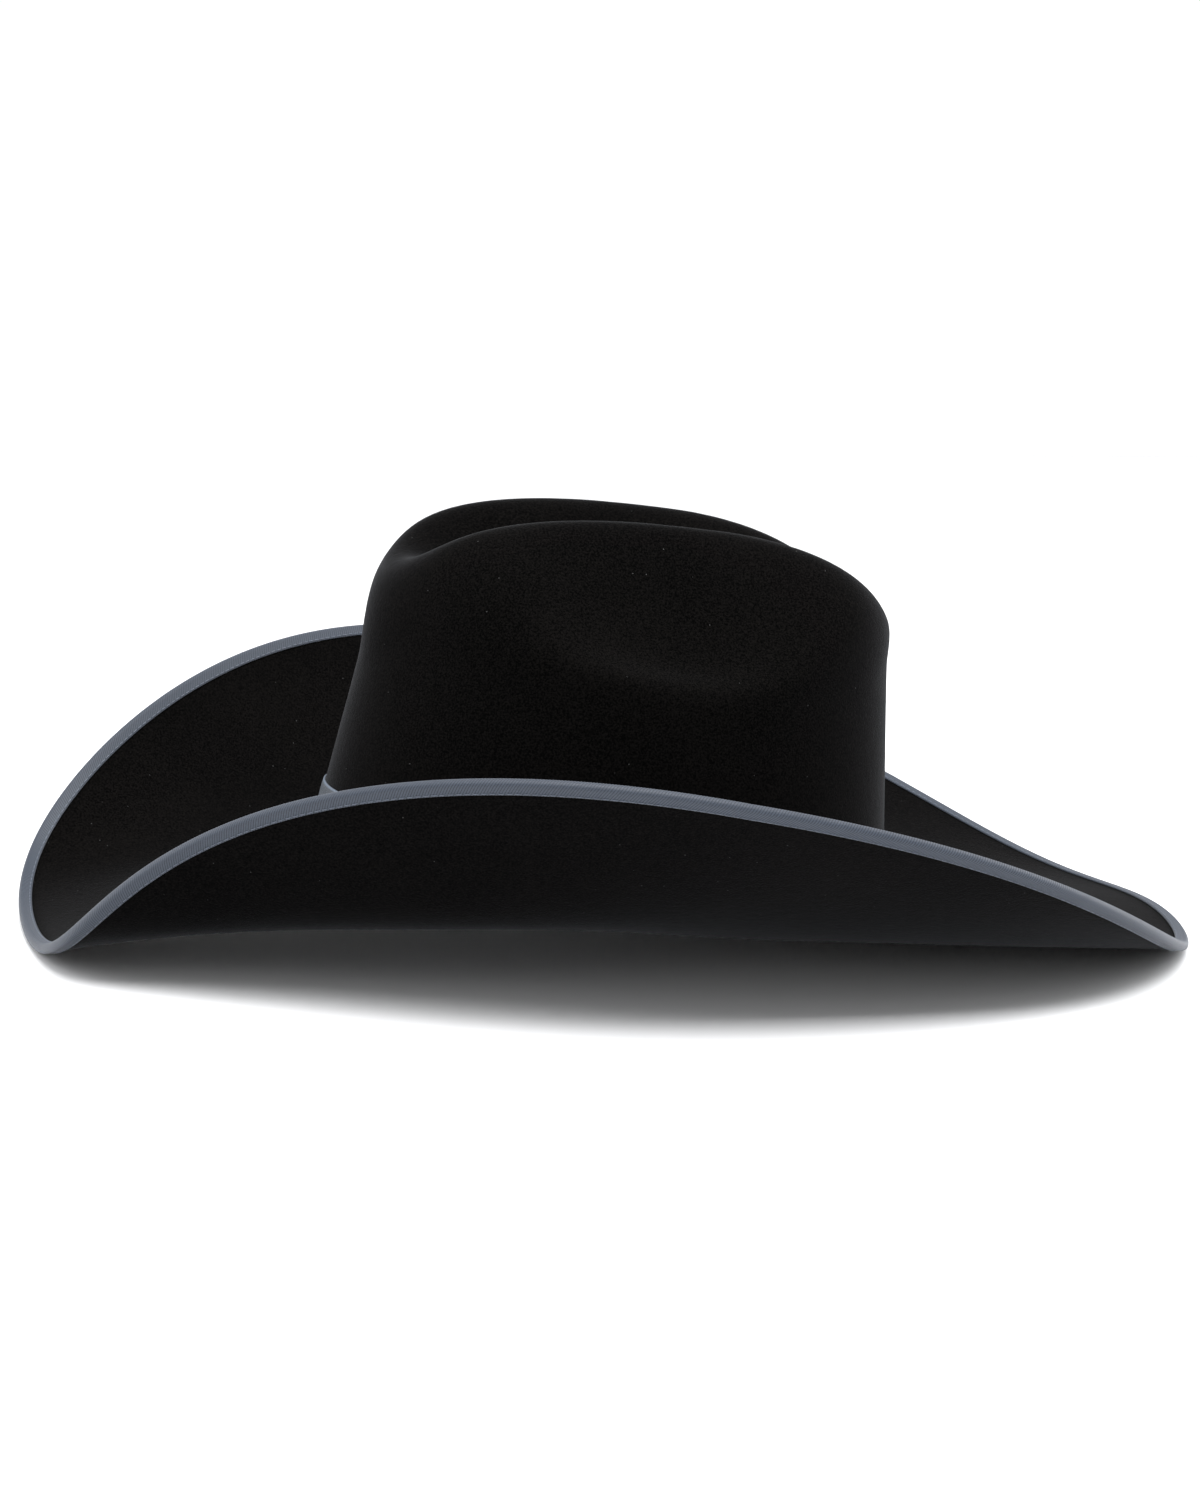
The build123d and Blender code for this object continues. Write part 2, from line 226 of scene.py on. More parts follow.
def soften(grid, passes):
    """Averages the crown's top with its neighbours; the brim and the wall stay as they are."""
    start = len(EDGE_ROWS) + sum(ROWS[:3]) - SHOULDER_ROWS
    for _ in range(passes):
        wide = np.concatenate([grid, mirrored(grid[:, -2:-3:-1])], 1)
        mean = (wide[:, :-2] + 2 * wide[:, 1:-1] + wide[:, 2:]) / 4
        grid[:, start:] = mean[:, start - 1:]
        ring = np.concatenate([mirrored(grid[1:2]), grid, mirrored(grid[-2:-1])])
        grid[:, start:] = ((ring[:-2] + 2 * ring[1:-1] + ring[2:]) / 4)[:, start:]
    return grid


def slopes(before, here, after):
    """Direction of a line of points at each of them, whatever their spacing."""
    a, b = here - before, after - here
    la = np.linalg.norm(a, axis=-1, keepdims=True) + 1e-9
    lb = np.linalg.norm(b, axis=-1, keepdims=True) + 1e-9
    return a / la * lb / (la + lb) + b / lb * la / (la + lb)


def surface_normals(grid):
    ring = np.concatenate([mirrored(grid[1:2]), grid, mirrored(grid[-2:-1])])
    along = slopes(ring[:-2], grid, ring[2:])
    column = np.concatenate([2 * grid[:, :1] - grid[:, 1:2], grid, mirrored(grid[:, -2:-1])], 1)
    up = slopes(column[:, :-2], grid, column[:, 2:])
    along[0], along[-1] = left, -left
    up[1:-1, -1] = -left
    up[[0, -1], -1] = (grid[:, -1] - grid[:, -2])[[0, -1]]
    n = np.cross(along, up)
    n[grid[..., 1] == 0, 1] = 0
    return n / np.linalg.norm(n, axis=2, keepdims=True)


half = soften(half, SOFTENING)
half_normals = surface_normals(half)
# The whole ring runs from the front over the left side to the back and home on the right.
skin = np.concatenate([half, mirrored(half[-2:0:-1])])
normals = np.concatenate([half_normals, mirrored(half_normals[-2:0:-1])])
columns, rows = skin.shape[:2]
print("skin", columns, "by", rows, "height", round(skin[..., 2].max(), 1), "mm")


# %% [markdown]
# ## Turning grids into pieces
#
# Every woven or felted piece here is a grid of points, so one helper makes the mesh: it
# joins the grid into quads, closes it where asked, and stores a UV map measured in metres,
# which lets a weave keep its true scale on any piece.

# %% Grid to mesh
def build_mesh(name, vertices, faces, uv=None):
    """Smooth-shaded piece from points in metres, held by the fixed body."""
    mesh = bpy.data.meshes.new(name)
    mesh.from_pydata([tuple(v) for v in vertices], [], faces)
    mesh.validate()
    mesh.polygons.foreach_set("use_smooth", [True] * len(mesh.polygons))
    if uv is not None:
        layer = mesh.uv_layers.new(name="metres")
        index = np.empty(len(mesh.loops), dtype=np.int32)
        mesh.loops.foreach_get("vertex_index", index)
        layer.data.foreach_set("uv", np.asarray(uv, float)[index].ravel())
    piece = bpy.data.objects.new(name, mesh)
    bpy.context.collection.objects.link(piece)
    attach(piece, "root")
    return piece


def grid_faces(wide, high, wrap_wide, wrap_high, offset=0):
    """Quads between the points of a grid, closed round either way."""
    i, j = np.meshgrid(np.arange(wide if wrap_wide else wide - 1),
                       np.arange(high if wrap_high else high - 1), indexing="ij")
    a, b = i, (i + 1) % wide
    c, d = j, (j + 1) % high
    quads = np.stack([a * high + c, b * high + c, b * high + d, a * high + d], -1) + offset
    return quads.reshape(-1, 4).tolist()


def tube_grid(name, grid, uv=None, wrap_wide=True):
    """Closed skin from a grid whose columns are closed sections."""
    wide, high = grid.shape[:2]
    faces = grid_faces(wide, high, wrap_wide, True)
    if not wrap_wide:
        faces.append(list(range(high)))
        faces.append([(wide - 1) * high + k for k in reversed(range(high))])
    flat_uv = None if uv is None else uv.reshape(-1, 2)
    return build_mesh(name, grid.reshape(-1, 3) * MM, faces, flat_uv)


print("a closed 4 by 4 grid has", len(grid_faces(4, 4, True, True)), "quads")

# %% [markdown]
# ## The felt body
#
# Fur felt is a solid sheet about two and a half millimetres thick, so it needs an
# underside as well. The underside is the same grid moved in along the normals. At the
# crease the left and right halves meet on one line, and the vertices there are shared.

# %% Felt body mesh
def felt_piece():
    """Top and under skins, joined at the brim's edge and closed along the crease."""
    under = skin - FELT * normals
    verts, index = [], np.zeros((2, columns, rows), dtype=int)
    for s, grid in enumerate((skin, under)):
        for j in range(columns):
            last = rows - 1
            for k in range(last):
                index[s, j, k] = len(verts)
                verts.append(grid[j, k])
            if j <= columns // 2:
                index[s, j, last] = len(verts)
                verts.append(grid[j, last])
        for j in range(columns // 2 + 1, columns):
            index[s, j, rows - 1] = index[s, columns - j, rows - 1]
    faces = []
    for j in range(columns):
        n = (j + 1) % columns
        for k in range(rows - 1):
            a, b, c, d = index[0, j, k], index[0, n, k], index[0, n, k + 1], index[0, j, k + 1]
            faces.append([v for i, v in enumerate((a, b, c, d)) if v not in (a, b, c, d)[:i]])
            a, b, c, d = index[1, j, k], index[1, j, k + 1], index[1, n, k + 1], index[1, n, k]
            faces.append([v for i, v in enumerate((a, b, c, d)) if v not in (a, b, c, d)[:i]])
        faces.append([index[0, n, 0], index[0, j, 0], index[1, j, 0], index[1, n, 0]])
    return build_mesh("felt_hat", np.array(verts) * MM, [list(map(int, f)) for f in faces])


felt_hat = felt_piece()
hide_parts("felt_body")
print("felt faces", len(felt_hat.data.polygons))


# %% [markdown]
# ## The ribbon that binds the edge
#
# A grosgrain ribbon is folded over the raw edge and sewn through. Grosgrain has fat
# crosswise ribs, about a millimetre apart, that show as a fine slant of light along
# the brim. They could be a bump, but at the fold they break the outline, so they are made
# as real ridges: the edge is resampled along its length, four points to a rib.

# %% Resample the brim edge along its length
RIB = 1.0                      # spacing of the ribs
RIB_LEAN = 0.55                # how far a rib leans along the edge for each unit across
RIB_HEIGHT = 0.17
BINDING = 0.6                  # how far the ribbon stands off the felt
SEWN_GAP = 0.05
RIB_POINTS = 4

edge_line = np.concatenate([skin[:, 0], skin[:1, 0]])
edge_run = np.r_[0, np.cumsum(np.linalg.norm(np.diff(edge_line, axis=0), axis=1))]
EDGE_LENGTH = edge_run[-1]
ribs = int(round(EDGE_LENGTH / RIB))


def along_edge(values, at):
    """Values known at each column, read off at distances along the brim's edge."""
    closed = np.concatenate([values, values[:1]])
    flat = closed.reshape(len(closed), -1)
    out = np.stack([np.interp(at % EDGE_LENGTH, edge_run, flat[:, i])
                    for i in range(flat.shape[1])], 1)
    return out.reshape((len(at),) + values.shape[1:])


zone = len(EDGE_ROWS)
edge_at = np.arange(ribs * RIB_POINTS) * EDGE_LENGTH / (ribs * RIB_POINTS)
edge_top = along_edge(skin[:, :zone], edge_at)
edge_normal = along_edge(normals[:, :zone], edge_at)
edge_normal /= np.linalg.norm(edge_normal, axis=2, keepdims=True)
print("brim edge", round(EDGE_LENGTH), "mm round,", ribs, "ribs")


# %% [markdown]
# The section of the folded ribbon goes out over the top, round the fold and back below,
# then returns along its inner face. The ribs run across the ribbon and fade out at the
# flat woven margins, where the stitch line lies.

# %% Folded binding with real ribs
FOLD_ROWS = 9
FOLD_RUN = 2.6                 # from the crest of the fold to the edge of either face
FOLD_DEPTH = 0.8               # the fold is pressed a little flat
FLAT_FROM, FLAT_RIB = 3.1, 0.35   # where the woven margin starts, and how low its ribs are


def leaning_ridge(across, strength=1.0):
    """Height of the ribs, at a distance across from the crest of the fold."""
    turn = 2 * np.pi * (np.arange(ribs * RIB_POINTS) / RIB_POINTS + RIB_LEAN * across / RIB)
    return RIB_HEIGHT * (np.sqrt(0.5 - 0.5 * np.cos(turn)) * strength - 1.0)[:, None]


def fold_section(gap, ribbed):
    """Points round the folded ribbon, and how far across each lies from the crest."""
    weak = [FLAT_RIB if r > FLAT_FROM else 1.0 for r in EDGE_ROWS]
    height = [[leaning_ridge(sign * (FOLD_RUN + r), weak[k]) * ribbed
               for k, r in enumerate(EDGE_ROWS)] for sign in (-1, 1)]
    over = [edge_top[:, k] + (gap + height[0][k]) * edge_normal[:, k] for k in range(zone)]
    under = [edge_top[:, k] - (FELT + gap + height[1][k]) * edge_normal[:, k]
             for k in range(zone)]
    middle = edge_top[:, 0] - FELT / 2 * edge_normal[:, 0]
    outward = edge_top[:, 0] - edge_top[:, 1]
    outward /= np.linalg.norm(outward, axis=1, keepdims=True)
    turns = np.linspace(np.pi / 2, -np.pi / 2, FOLD_ROWS + 2)[1:-1]
    fold = []
    for t in turns:
        reach = FELT / 2 + gap + leaning_ridge(-t / (np.pi / 2) * FOLD_RUN) * ribbed
        fold.append(middle + FOLD_DEPTH * reach * np.cos(t) * outward
                    + reach * np.sin(t) * edge_normal[:, 0])
    across = np.r_[[-FOLD_RUN - r for r in EDGE_ROWS[::-1]], -turns / (np.pi / 2) * FOLD_RUN,
                   [FOLD_RUN + r for r in EDGE_ROWS]]
    return np.stack(over[::-1] + fold + under, 1), across


outer_section, across = fold_section(SEWN_GAP + BINDING, 1.0)
inner_section = fold_section(SEWN_GAP, 0.0)[0][:, ::-1]
binding_grid = np.concatenate([outer_section, inner_section], 1)
across = np.r_[across, across[::-1]]
rib_run = np.arange(ribs * RIB_POINTS)[:, None] / RIB_POINTS * RIB + RIB_LEAN * across[None, :]
binding_uv = np.stack(np.broadcast_arrays(rib_run, across[None, :] + 10), -1) * MM
bound_edge = tube_grid("bound_edge", binding_grid, binding_uv)
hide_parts("brim_binding")
print("binding faces", len(bound_edge.data.polygons))


# %% [markdown]
# ## Machine stitches
#
# A lockstitch shows as a row of short threads, each dipping into the ribbon at both ends.
# One ring of thread would look like a wire, so each stitch is its own small bowed capsule,
# laid on the ribbon near its inner margin, on top and below.

# %% Stitches along the binding
STITCH, STITCH_GAP, THREAD = 2.1, 0.7, 0.3
STITCH_POINTS, STITCH_SIDES = 6, 6
SUNK = 0.08                    # how far the ends of a stitch dip into the ribbon


def stitch_row(name, row, side, node):
    """Stitches along one row of the brim's skin; side is 1 on top and -1 below."""
    count = int(EDGE_LENGTH / (STITCH + STITCH_GAP))
    pitch = EDGE_LENGTH / count
    turns = np.linspace(0, 2 * np.pi, STITCH_SIDES, endpoint=False)
    verts, faces = [], []
    for s in range(count):
        u = np.linspace(-0.5, 0.5, STITCH_POINTS)
        at = (s + 0.5) * pitch + u * STITCH
        spot = along_edge(skin[:, row], at)
        n = along_edge(normals[:, row], at) * side
        if side < 0:
            spot = spot + FELT * n
        bow = np.sqrt(np.clip(1 - (2 * u) ** 2, 0, 1))
        lift = SEWN_GAP + BINDING - SUNK + THREAD * 0.55 * bow
        spot = spot + lift[:, None] * n
        ahead = np.gradient(spot, axis=0)
        width = np.cross(n, ahead)
        width /= np.linalg.norm(width, axis=1, keepdims=True)
        size = THREAD / 2 * np.array([0.45, 0.9, 1.0, 1.0, 0.9, 0.45])
        ring = (spot[:, None] + size[:, None, None]
                * (np.cos(turns)[None, :, None] * width[:, None]
                   + np.sin(turns)[None, :, None] * n[:, None]))
        first = len(verts)
        verts.extend(ring.reshape(-1, 3))
        faces += grid_faces(STITCH_POINTS, STITCH_SIDES, False, True, first)
        faces.append([first + k for k in range(STITCH_SIDES)])
        last = first + (STITCH_POINTS - 1) * STITCH_SIDES
        faces.append([last + k for k in reversed(range(STITCH_SIDES))])
    piece = build_mesh(name, np.array(verts) * MM, faces)
    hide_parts(node)
    return piece


stitch_line = EDGE_ROWS.index(2.8)
stitches_top = stitch_row("stitches_top", stitch_line, 1, "binding_thread_top")
stitches_under = stitch_row("stitches_under", stitch_line, -1, "binding_thread_under")
faces_each = (STITCH_POINTS - 1) * STITCH_SIDES + 2
print("stitches per side", len(stitches_top.data.polygons) // faces_each)


# %% [markdown]
# ## The hat band
#
# The band is the same grosgrain, nineteen millimetres wide, pulled tight round the foot
# of the crown and tacked. Its ribs run up and down, and a flat woven margin closes each
# long side. It follows the wall's own ellipse, so it is built on the head plane from
# ellipses rather than from the skin grid.

# %% Ring pieces on the crown wall
def in_crown(x, y, h):
    """World points, in millimetres, from arrays of one shape in the head plane's axes."""
    return (foot_centre + x[..., None] * forward + y[..., None] * left
            + h[..., None] * upward)


def wall_point(angle, h, offset):
    """Point against the crown's wall: angle and h may be arrays of one shape."""
    x = (CROWN_HALF_LENGTH - END_TAPER * h + offset) * np.cos(angle)
    y = (CROWN_HALF_WIDTH - SIDE_TAPER * h + offset) * np.sin(angle)
    return in_crown(x, y, h)


def even_angles(count, h, offset):
    """Angles that divide the wall's ellipse into even lengths."""
    fine = np.linspace(0, 2 * np.pi, 20001)
    line = wall_point(fine, np.full_like(fine, h), offset)
    run = np.r_[0, np.cumsum(np.linalg.norm(np.diff(line, axis=0), axis=1))]
    return np.interp(np.arange(count) * run[-1] / count, run, fine), run[-1]


print("wall at the foot is", round(even_angles(8, 0, 0)[1]), "mm round")


# %% [markdown]
# The band's ribs stand upright. They could be a bump, but the ribs break the outline where
# the wall turns away from the eye, so each rib is four columns of points.

# %% Hat band
BAND_FOOT, BAND_WIDTH = 4.6, 19.1
BAND_OUTER, BAND_INNER = 0.9, 0.1
WOVEN_MARGIN = 1.3


def ribbon_ring(name, foot, width, outer, inner, margin_at=WOVEN_MARGIN):
    """Grosgrain ring: ribs upright, flat woven margins, tiny scallops at the sides."""
    length = even_angles(8, foot, outer)[1]
    count = int(round(length / RIB))
    angle = even_angles(count * RIB_POINTS, foot, outer)[0]
    wave = np.array([0.0, 0.71, 1.0, 0.71] * count)
    up = np.r_[0, 0.25, 0.7, margin_at, margin_at + 0.25,
               np.linspace(margin_at + 1, width - margin_at - 1, 12),
               width - margin_at - 0.25, width - margin_at, width - 0.7, width - 0.25, width]
    side = np.minimum(up, width - up)
    strength = np.where(side > margin_at + 0.1, 1.0, 0.3)
    rounding = np.where(side < 0.2, 0.25, 0.0)
    a, h = np.meshgrid(angle, foot + up, indexing="ij")
    off = outer - RIB_HEIGHT * (1 - wave[:, None] * strength[None]) - rounding[None]
    front = wall_point(a, h, off)
    back = wall_point(a[:, ::-1], h[:, ::-1], np.full_like(a, inner))
    grid = np.concatenate([front, back], 1)
    run = np.arange(count * RIB_POINTS) / RIB_POINTS * RIB
    over = np.r_[up, up[::-1] + width]
    uv = np.stack(np.broadcast_arrays(run[:, None], over[None]), -1) * MM
    return tube_grid(name, grid, uv)


band = ribbon_ring("hat_ribbon", BAND_FOOT, BAND_WIDTH, BAND_OUTER, BAND_INNER)
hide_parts("hat_band")
print("band faces", len(band.data.polygons))


# %% [markdown]
# ## The bow
#
# The band's joint hides under a flat bow on the left side. It is made from strips of the
# same ribbon: each half is a loop folded back on itself, and a short strip wraps the
# middle upright. A strip follows a path, and its ribs are ridges across it.

# %% Strips of ribbon laid on the wall
RUN_H, RUN_OFFSET = 17.0, 1.0  # where lengths along the wall are measured
fine_turn = np.linspace(-np.pi, 3 * np.pi, 40001)
fine_line = wall_point(fine_turn, np.full_like(fine_turn, RUN_H), RUN_OFFSET)
fine_run = np.r_[0, np.cumsum(np.linalg.norm(np.diff(fine_line, axis=0), axis=1))]


def turn_at(centre, distance):
    """Angle that lies a distance along the wall from the angle called centre."""
    return np.interp(np.interp(centre, fine_turn, fine_run) + distance, fine_run, fine_turn)


print("length along the wall", round(fine_run[-1] / 2), "mm a turn")


# %% [markdown]
# One helper makes every flat ribbon of both bows. A bevelled curve could do it, but it has
# no ribs, so the strip is again a grid, with its front ribbed and its back plain.

# %% A strip along a path
WAIST_LENGTH = 7.0


def strip(name, path, half, thick, place, waist=0.0, pitch=RIB, height=RIB_HEIGHT,
          margin=1.2, rows=9):
    """Ribbon along a path of (run, offset) points.

    place() turns run, across and offset into a point; waist narrows the strip at run 0.
    """
    path = np.asarray(path, float)
    length = np.r_[0, np.cumsum(np.linalg.norm(np.diff(path, axis=0), axis=1))]
    count = max(int(round(length[-1] / pitch)), 2)
    points = RIB_POINTS * count + 1
    at = np.linspace(0, length[-1], points)
    middle = np.stack([np.interp(at, length, path[:, k]) for k in (0, 1)], 1)
    for _ in range(3):
        middle[1:-1] = (middle[:-2] + 2 * middle[1:-1] + middle[2:]) / 4
    ahead = np.gradient(middle, axis=0)
    ahead /= np.linalg.norm(ahead, axis=1, keepdims=True)
    out = np.stack([-ahead[:, 1], ahead[:, 0]], 1)
    wave = np.r_[np.tile([0.0, 0.75, 1.0, 0.75], count), 0.0]
    narrow = 1 - waist * np.exp(-(middle[:, 0] / WAIST_LENGTH) ** 2)
    side = np.r_[0, 0.22, margin * 0.55, margin, margin + 0.2]
    across = np.r_[side - half, np.linspace(margin + 0.6 - half, half - margin - 0.6, rows),
                   half - side[::-1]]
    inset = half - np.abs(across)
    ribbed = np.where(inset > margin + 0.1, 1.0, 0.25)
    round_off = np.where(inset < 0.1, 0.22, 0.0)
    front = thick / 2 - height * (1 - wave[:, None] * ribbed) - round_off
    back = np.broadcast_to(-thick / 2 + round_off, front.shape)
    rows_off = np.concatenate([front, back[:, ::-1]], 1)
    rows_across = np.r_[across, across[::-1]]
    spot = middle[:, None] + rows_off[..., None] * out[:, None]
    grid = place(spot[..., 0], narrow[:, None] * rows_across[None], spot[..., 1])
    over = np.r_[across, 2 * half + across]
    run = np.arange(points)[:, None] / RIB_POINTS * RIB
    uv = np.stack(np.broadcast_arrays(run, over[None]), -1) * MM
    return tube_grid(name, grid, uv, wrap_wide=False)


print("a strip has", RIB_POINTS, "points to a rib")


# %% [markdown]
# The two loops are one path and its mirror image. The wrap runs across them, so its own
# placing function swaps the two directions.

# %% Side bow
BOW_X = -12.0                  # the middle of the bow sits a little behind the crown's centre
BOW_REACH, BOW_HALF_WIDTH, BOW_THICK = 30.6, 8.5, 0.5
BOW_LOW, BOW_HIGH, BOW_PUFF, BOW_WAIST = 1.25, 2.2, 0.55, 0.07
WRAP_HALF_WIDTH = 5.4

BOW_TURN = np.arccos(BOW_X / (CROWN_HALF_LENGTH - 2.2))
bow_middle = BAND_FOOT + BAND_WIDTH / 2


def on_bow(run, across, off):
    """Point on the side bow, run forwards along the band and across it."""
    return wall_point(turn_at(BOW_TURN, run), bow_middle + across, off)


def loop_path(reach, low, high, puff):
    """Folded loop: out along the band, round, and back over itself, a little puffed."""
    u = np.linspace(0, 1, 24)
    tip = (high - low) / 2
    out = np.stack([u * (reach - tip), low + 0 * u], 1)
    bend_at = np.linspace(-np.pi / 2, np.pi / 2, 12)
    fold = np.stack([reach - tip + tip * np.cos(bend_at), low + tip + tip * np.sin(bend_at)], 1)
    back = np.stack([(1 - u) * (reach - tip), high + puff * np.sin(np.pi * u) ** 2], 1)
    return np.concatenate([out, fold[1:-1], back])


def joined(name, parts):
    """One mesh from several pieces of one finish."""
    with bpy.context.temp_override(active_object=parts[0], selected_editable_objects=parts):
        bpy.ops.object.join()
    parts[0].name = parts[0].data.name = name
    return parts[0]


right_loop = loop_path(BOW_REACH, BOW_LOW, BOW_HIGH, BOW_PUFF)
left_loop = right_loop * (-1, 1)
bow = joined("side_bow", [
    strip("bow_right", right_loop[::-1], BOW_HALF_WIDTH, BOW_THICK, on_bow, waist=BOW_WAIST),
    strip("bow_left", left_loop, BOW_HALF_WIDTH, BOW_THICK, on_bow, waist=BOW_WAIST)])
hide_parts("bow_loops")

# The wrap comes up from under the bow, over it, and down again on the other side.
wrap_side = np.array([(9.3, 1.15), (9.65, 1.5), (9.7, 2.2), (9.4, 2.75), (8.6, 3.0), (5, 3.05)])
wrap = np.concatenate([wrap_side, [(0, 3.1)], wrap_side[::-1] * (-1, 1)])


def on_wrap(run, across, off):
    """Point on the wrap, which runs up the wall over the bow's middle."""
    return wall_point(turn_at(BOW_TURN, across), bow_middle + run, off)


knot = strip("bow_wrap", wrap, WRAP_HALF_WIDTH, BOW_THICK, on_wrap, rows=5)
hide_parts("bow_knot")
print("bow faces", len(bow.data.polygons), "wrap faces", len(knot.data.polygons))


# %% [markdown]
# ## Inside the crown
#
# From the felt inwards come a plastic reed on its tape, the leather that rests on the
# forehead with its lower edge rolled round the reed, a strip and a small ribbon bow over
# the leather's joint, a blank woven label, and a satin lining with piping and a clear
# shield at its tip. Reed, tape and leather could be curves with a bevel, but a section
# swept round the wall keeps each one at its exact distance from the felt.

# %% Rings with any section
def ring_section(name, section, count, ripple=None):
    """Ring on the wall from a closed section of (height, offset) points; ripple moves them."""
    section = np.asarray(section, float)
    mid = section.mean(0)
    angle, length = even_angles(count, mid[0], mid[1])
    h = np.broadcast_to(section[:, 0], (count, len(section))).copy()
    off = np.broadcast_to(section[:, 1], h.shape).copy()
    run = np.arange(count) * length / count
    if ripple is not None:
        h, off = ripple(run / length, h, off)
    grid = wall_point(np.broadcast_to(angle[:, None], h.shape), h, off)
    around_it = np.r_[0, np.cumsum(np.linalg.norm(np.diff(section, axis=0), axis=1))]
    uv = np.stack(np.broadcast_arrays(run[:, None], around_it[None]), -1) * MM
    return tube_grid(name, grid, uv)


def dot_ring(h, off, radius, sides=12):
    """Round section for a cord."""
    turn = np.linspace(0, 2 * np.pi, sides, endpoint=False)
    return np.stack([h + radius * np.cos(turn), off - radius * np.sin(turn)], 1)


print("section of a cord has", len(dot_ring(0, 0, 1)), "points")


# %% [markdown]
# The reed is a plastic cord that keeps the leather's edge round. It is a round section
# swept along the wall, and the tape behind it is a flat one.

# %% Reed and its tape
RING_COLUMNS = 360
REED_HEIGHT, REED_OFFSET, REED_RADIUS = 2.2, -3.57, 0.75

tape = ring_section("reed_tape_ring", [(9, -2.49), (9, -2.75), (8, -2.77), (5, -2.77), (2, -2.77),
                                       (1, -2.75), (1, -2.49), (2, -2.47), (5, -2.47), (8, -2.47)],
                    RING_COLUMNS)
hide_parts("reed_tape")
reed = ring_section("reed_cord", dot_ring(REED_HEIGHT, REED_OFFSET, REED_RADIUS), RING_COLUMNS)
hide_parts("reed")
print("reed", round(even_angles(8, REED_HEIGHT, REED_OFFSET)[1]), "mm round")


# %% [markdown]
# The leather is drawn as its own section: a roll at the bottom, a dip where the reed is
# stitched in, a long flat face, a pressed line and a free top edge. A leather that has been
# worn never lies quite flat, so a slow ripple grows towards the free edge.

# %% Leather
LEATHER_FACE = -5.62           # offset of the flat face from the felt's outer skin
LEATHER_COLUMNS = 480

# Inner face up from the rolled lower edge, a dip at the stitch line, then a free top edge.
leather_face = [(0.75, -4.7), (0.6, -5.0), (0.7, -5.35), (1.1, -5.75), (1.7, -5.98), (2.4, -5.98),
                (3.0, -5.8), (3.45, -5.6), (3.8, -5.5), (4.2, -5.58), (4.8, -5.66), (6, -5.66),
                (8, -5.64), (12, -5.62), (18, -5.62), (25, -5.62), (32, -5.62), (38, -5.62),
                (41.2, -5.62), (41.7, -5.55), (42.0, -5.52), (42.3, -5.55), (42.8, -5.62),
                (44.2, -5.6), (44.8, -5.4), (45.0, -5.05), (44.85, -4.62), (44.3, -4.44)]
leather_back = [(40, -4.42), (32, -4.42), (22, -4.42), (12, -4.42), (6, -4.42), (3.2, -4.44),
                (1.6, -4.5)]


def leather_ripple(share, h, off):
    """Three waves round the head that grow from the stitch line to the free edge."""
    wave = (np.sin(2 * np.pi * 5 * share + 0.6) + 0.6 * np.sin(2 * np.pi * 11 * share + 2.0)
            + 0.3 * np.sin(2 * np.pi * 23 * share))
    lift = np.clip((h - 8) / 37, 0, 1) ** 1.6
    return h, off - 0.22 * (wave[:, None] + 1.9) * lift


leather = ring_section("sweatband_leather", leather_face + leather_back, LEATHER_COLUMNS,
                       leather_ripple)
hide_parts("sweatband")
print("leather faces", len(leather.data.polygons))


# %% [markdown]
# A row of small stitches closes the leather round the reed. Each is a short thread whose
# points are raised off the face, so the same helper also makes the zigzag over the joint.

# %% Stitches on the leather
LEATHER_STITCHES = 216
STITCH_LINE = 3.8              # height of the row on the leather


def capsules(lines, size, sides=6):
    """Short threads: each line is points, already raised; returns vertices and faces."""
    turn = np.linspace(0, 2 * np.pi, sides, endpoint=False)
    verts, faces = [], []
    for line in lines:
        n = len(line)
        ahead = np.gradient(line, axis=0)
        ahead /= np.linalg.norm(ahead, axis=1, keepdims=True)
        steady = np.where(np.abs(ahead[:, 2:]) < 0.8, [[0, 0, 1.0]], [[1.0, 0, 0]])
        one = np.cross(ahead, steady)
        one /= np.linalg.norm(one, axis=1, keepdims=True)
        two = np.cross(ahead, one)
        taper = np.r_[0.5, np.ones(n - 2), 0.5] * size / 2
        ring = line[:, None] + taper[:, None, None] * (
            np.cos(turn)[None, :, None] * one[:, None]
            + np.sin(turn)[None, :, None] * two[:, None])
        first = len(verts)
        verts.extend(ring.reshape(-1, 3))
        faces += grid_faces(n, sides, False, True, first)
        faces.append([first + k for k in range(sides)])
        faces.append([first + (n - 1) * sides + k for k in reversed(range(sides))])
    return np.array(verts) * MM, faces


angles, around_leather = even_angles(LEATHER_STITCHES, STITCH_LINE, -5.7)
step = np.linspace(-0.42, 0.42, 5)
raised = -5.52 - 0.32 * np.sqrt(1 - (step / 0.46) ** 2)
lines = []
for a in angles:
    turn = turn_at(a, step * around_leather / LEATHER_STITCHES)
    lines.append(wall_point(turn, np.full(5, STITCH_LINE), raised))
leather_stitches = build_mesh("leather_stitches", *capsules(lines, THREAD))
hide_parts("sweatband_thread")
print("leather stitches", len(lines))


# %% [markdown]
# The leather's two ends meet at the back under a narrow strip, held down by a zigzag. The
# size label sits beside it. Both are flat patches that follow the rippled face.

# %% Patches on the leather's face
def inner_face(share, h):
    """How far the leather's face stands in at a share of its length and a height."""
    flat = np.zeros_like(np.asarray(h, float))
    off = leather_ripple(np.atleast_1d(share), np.atleast_2d(h).astype(float), flat[None])[1][0]
    return off + LEATHER_FACE


leather_length = even_angles(8, 22, LEATHER_FACE)[1]
PATCH_LIFT, SOFT_EDGE = 0.03, 0.25


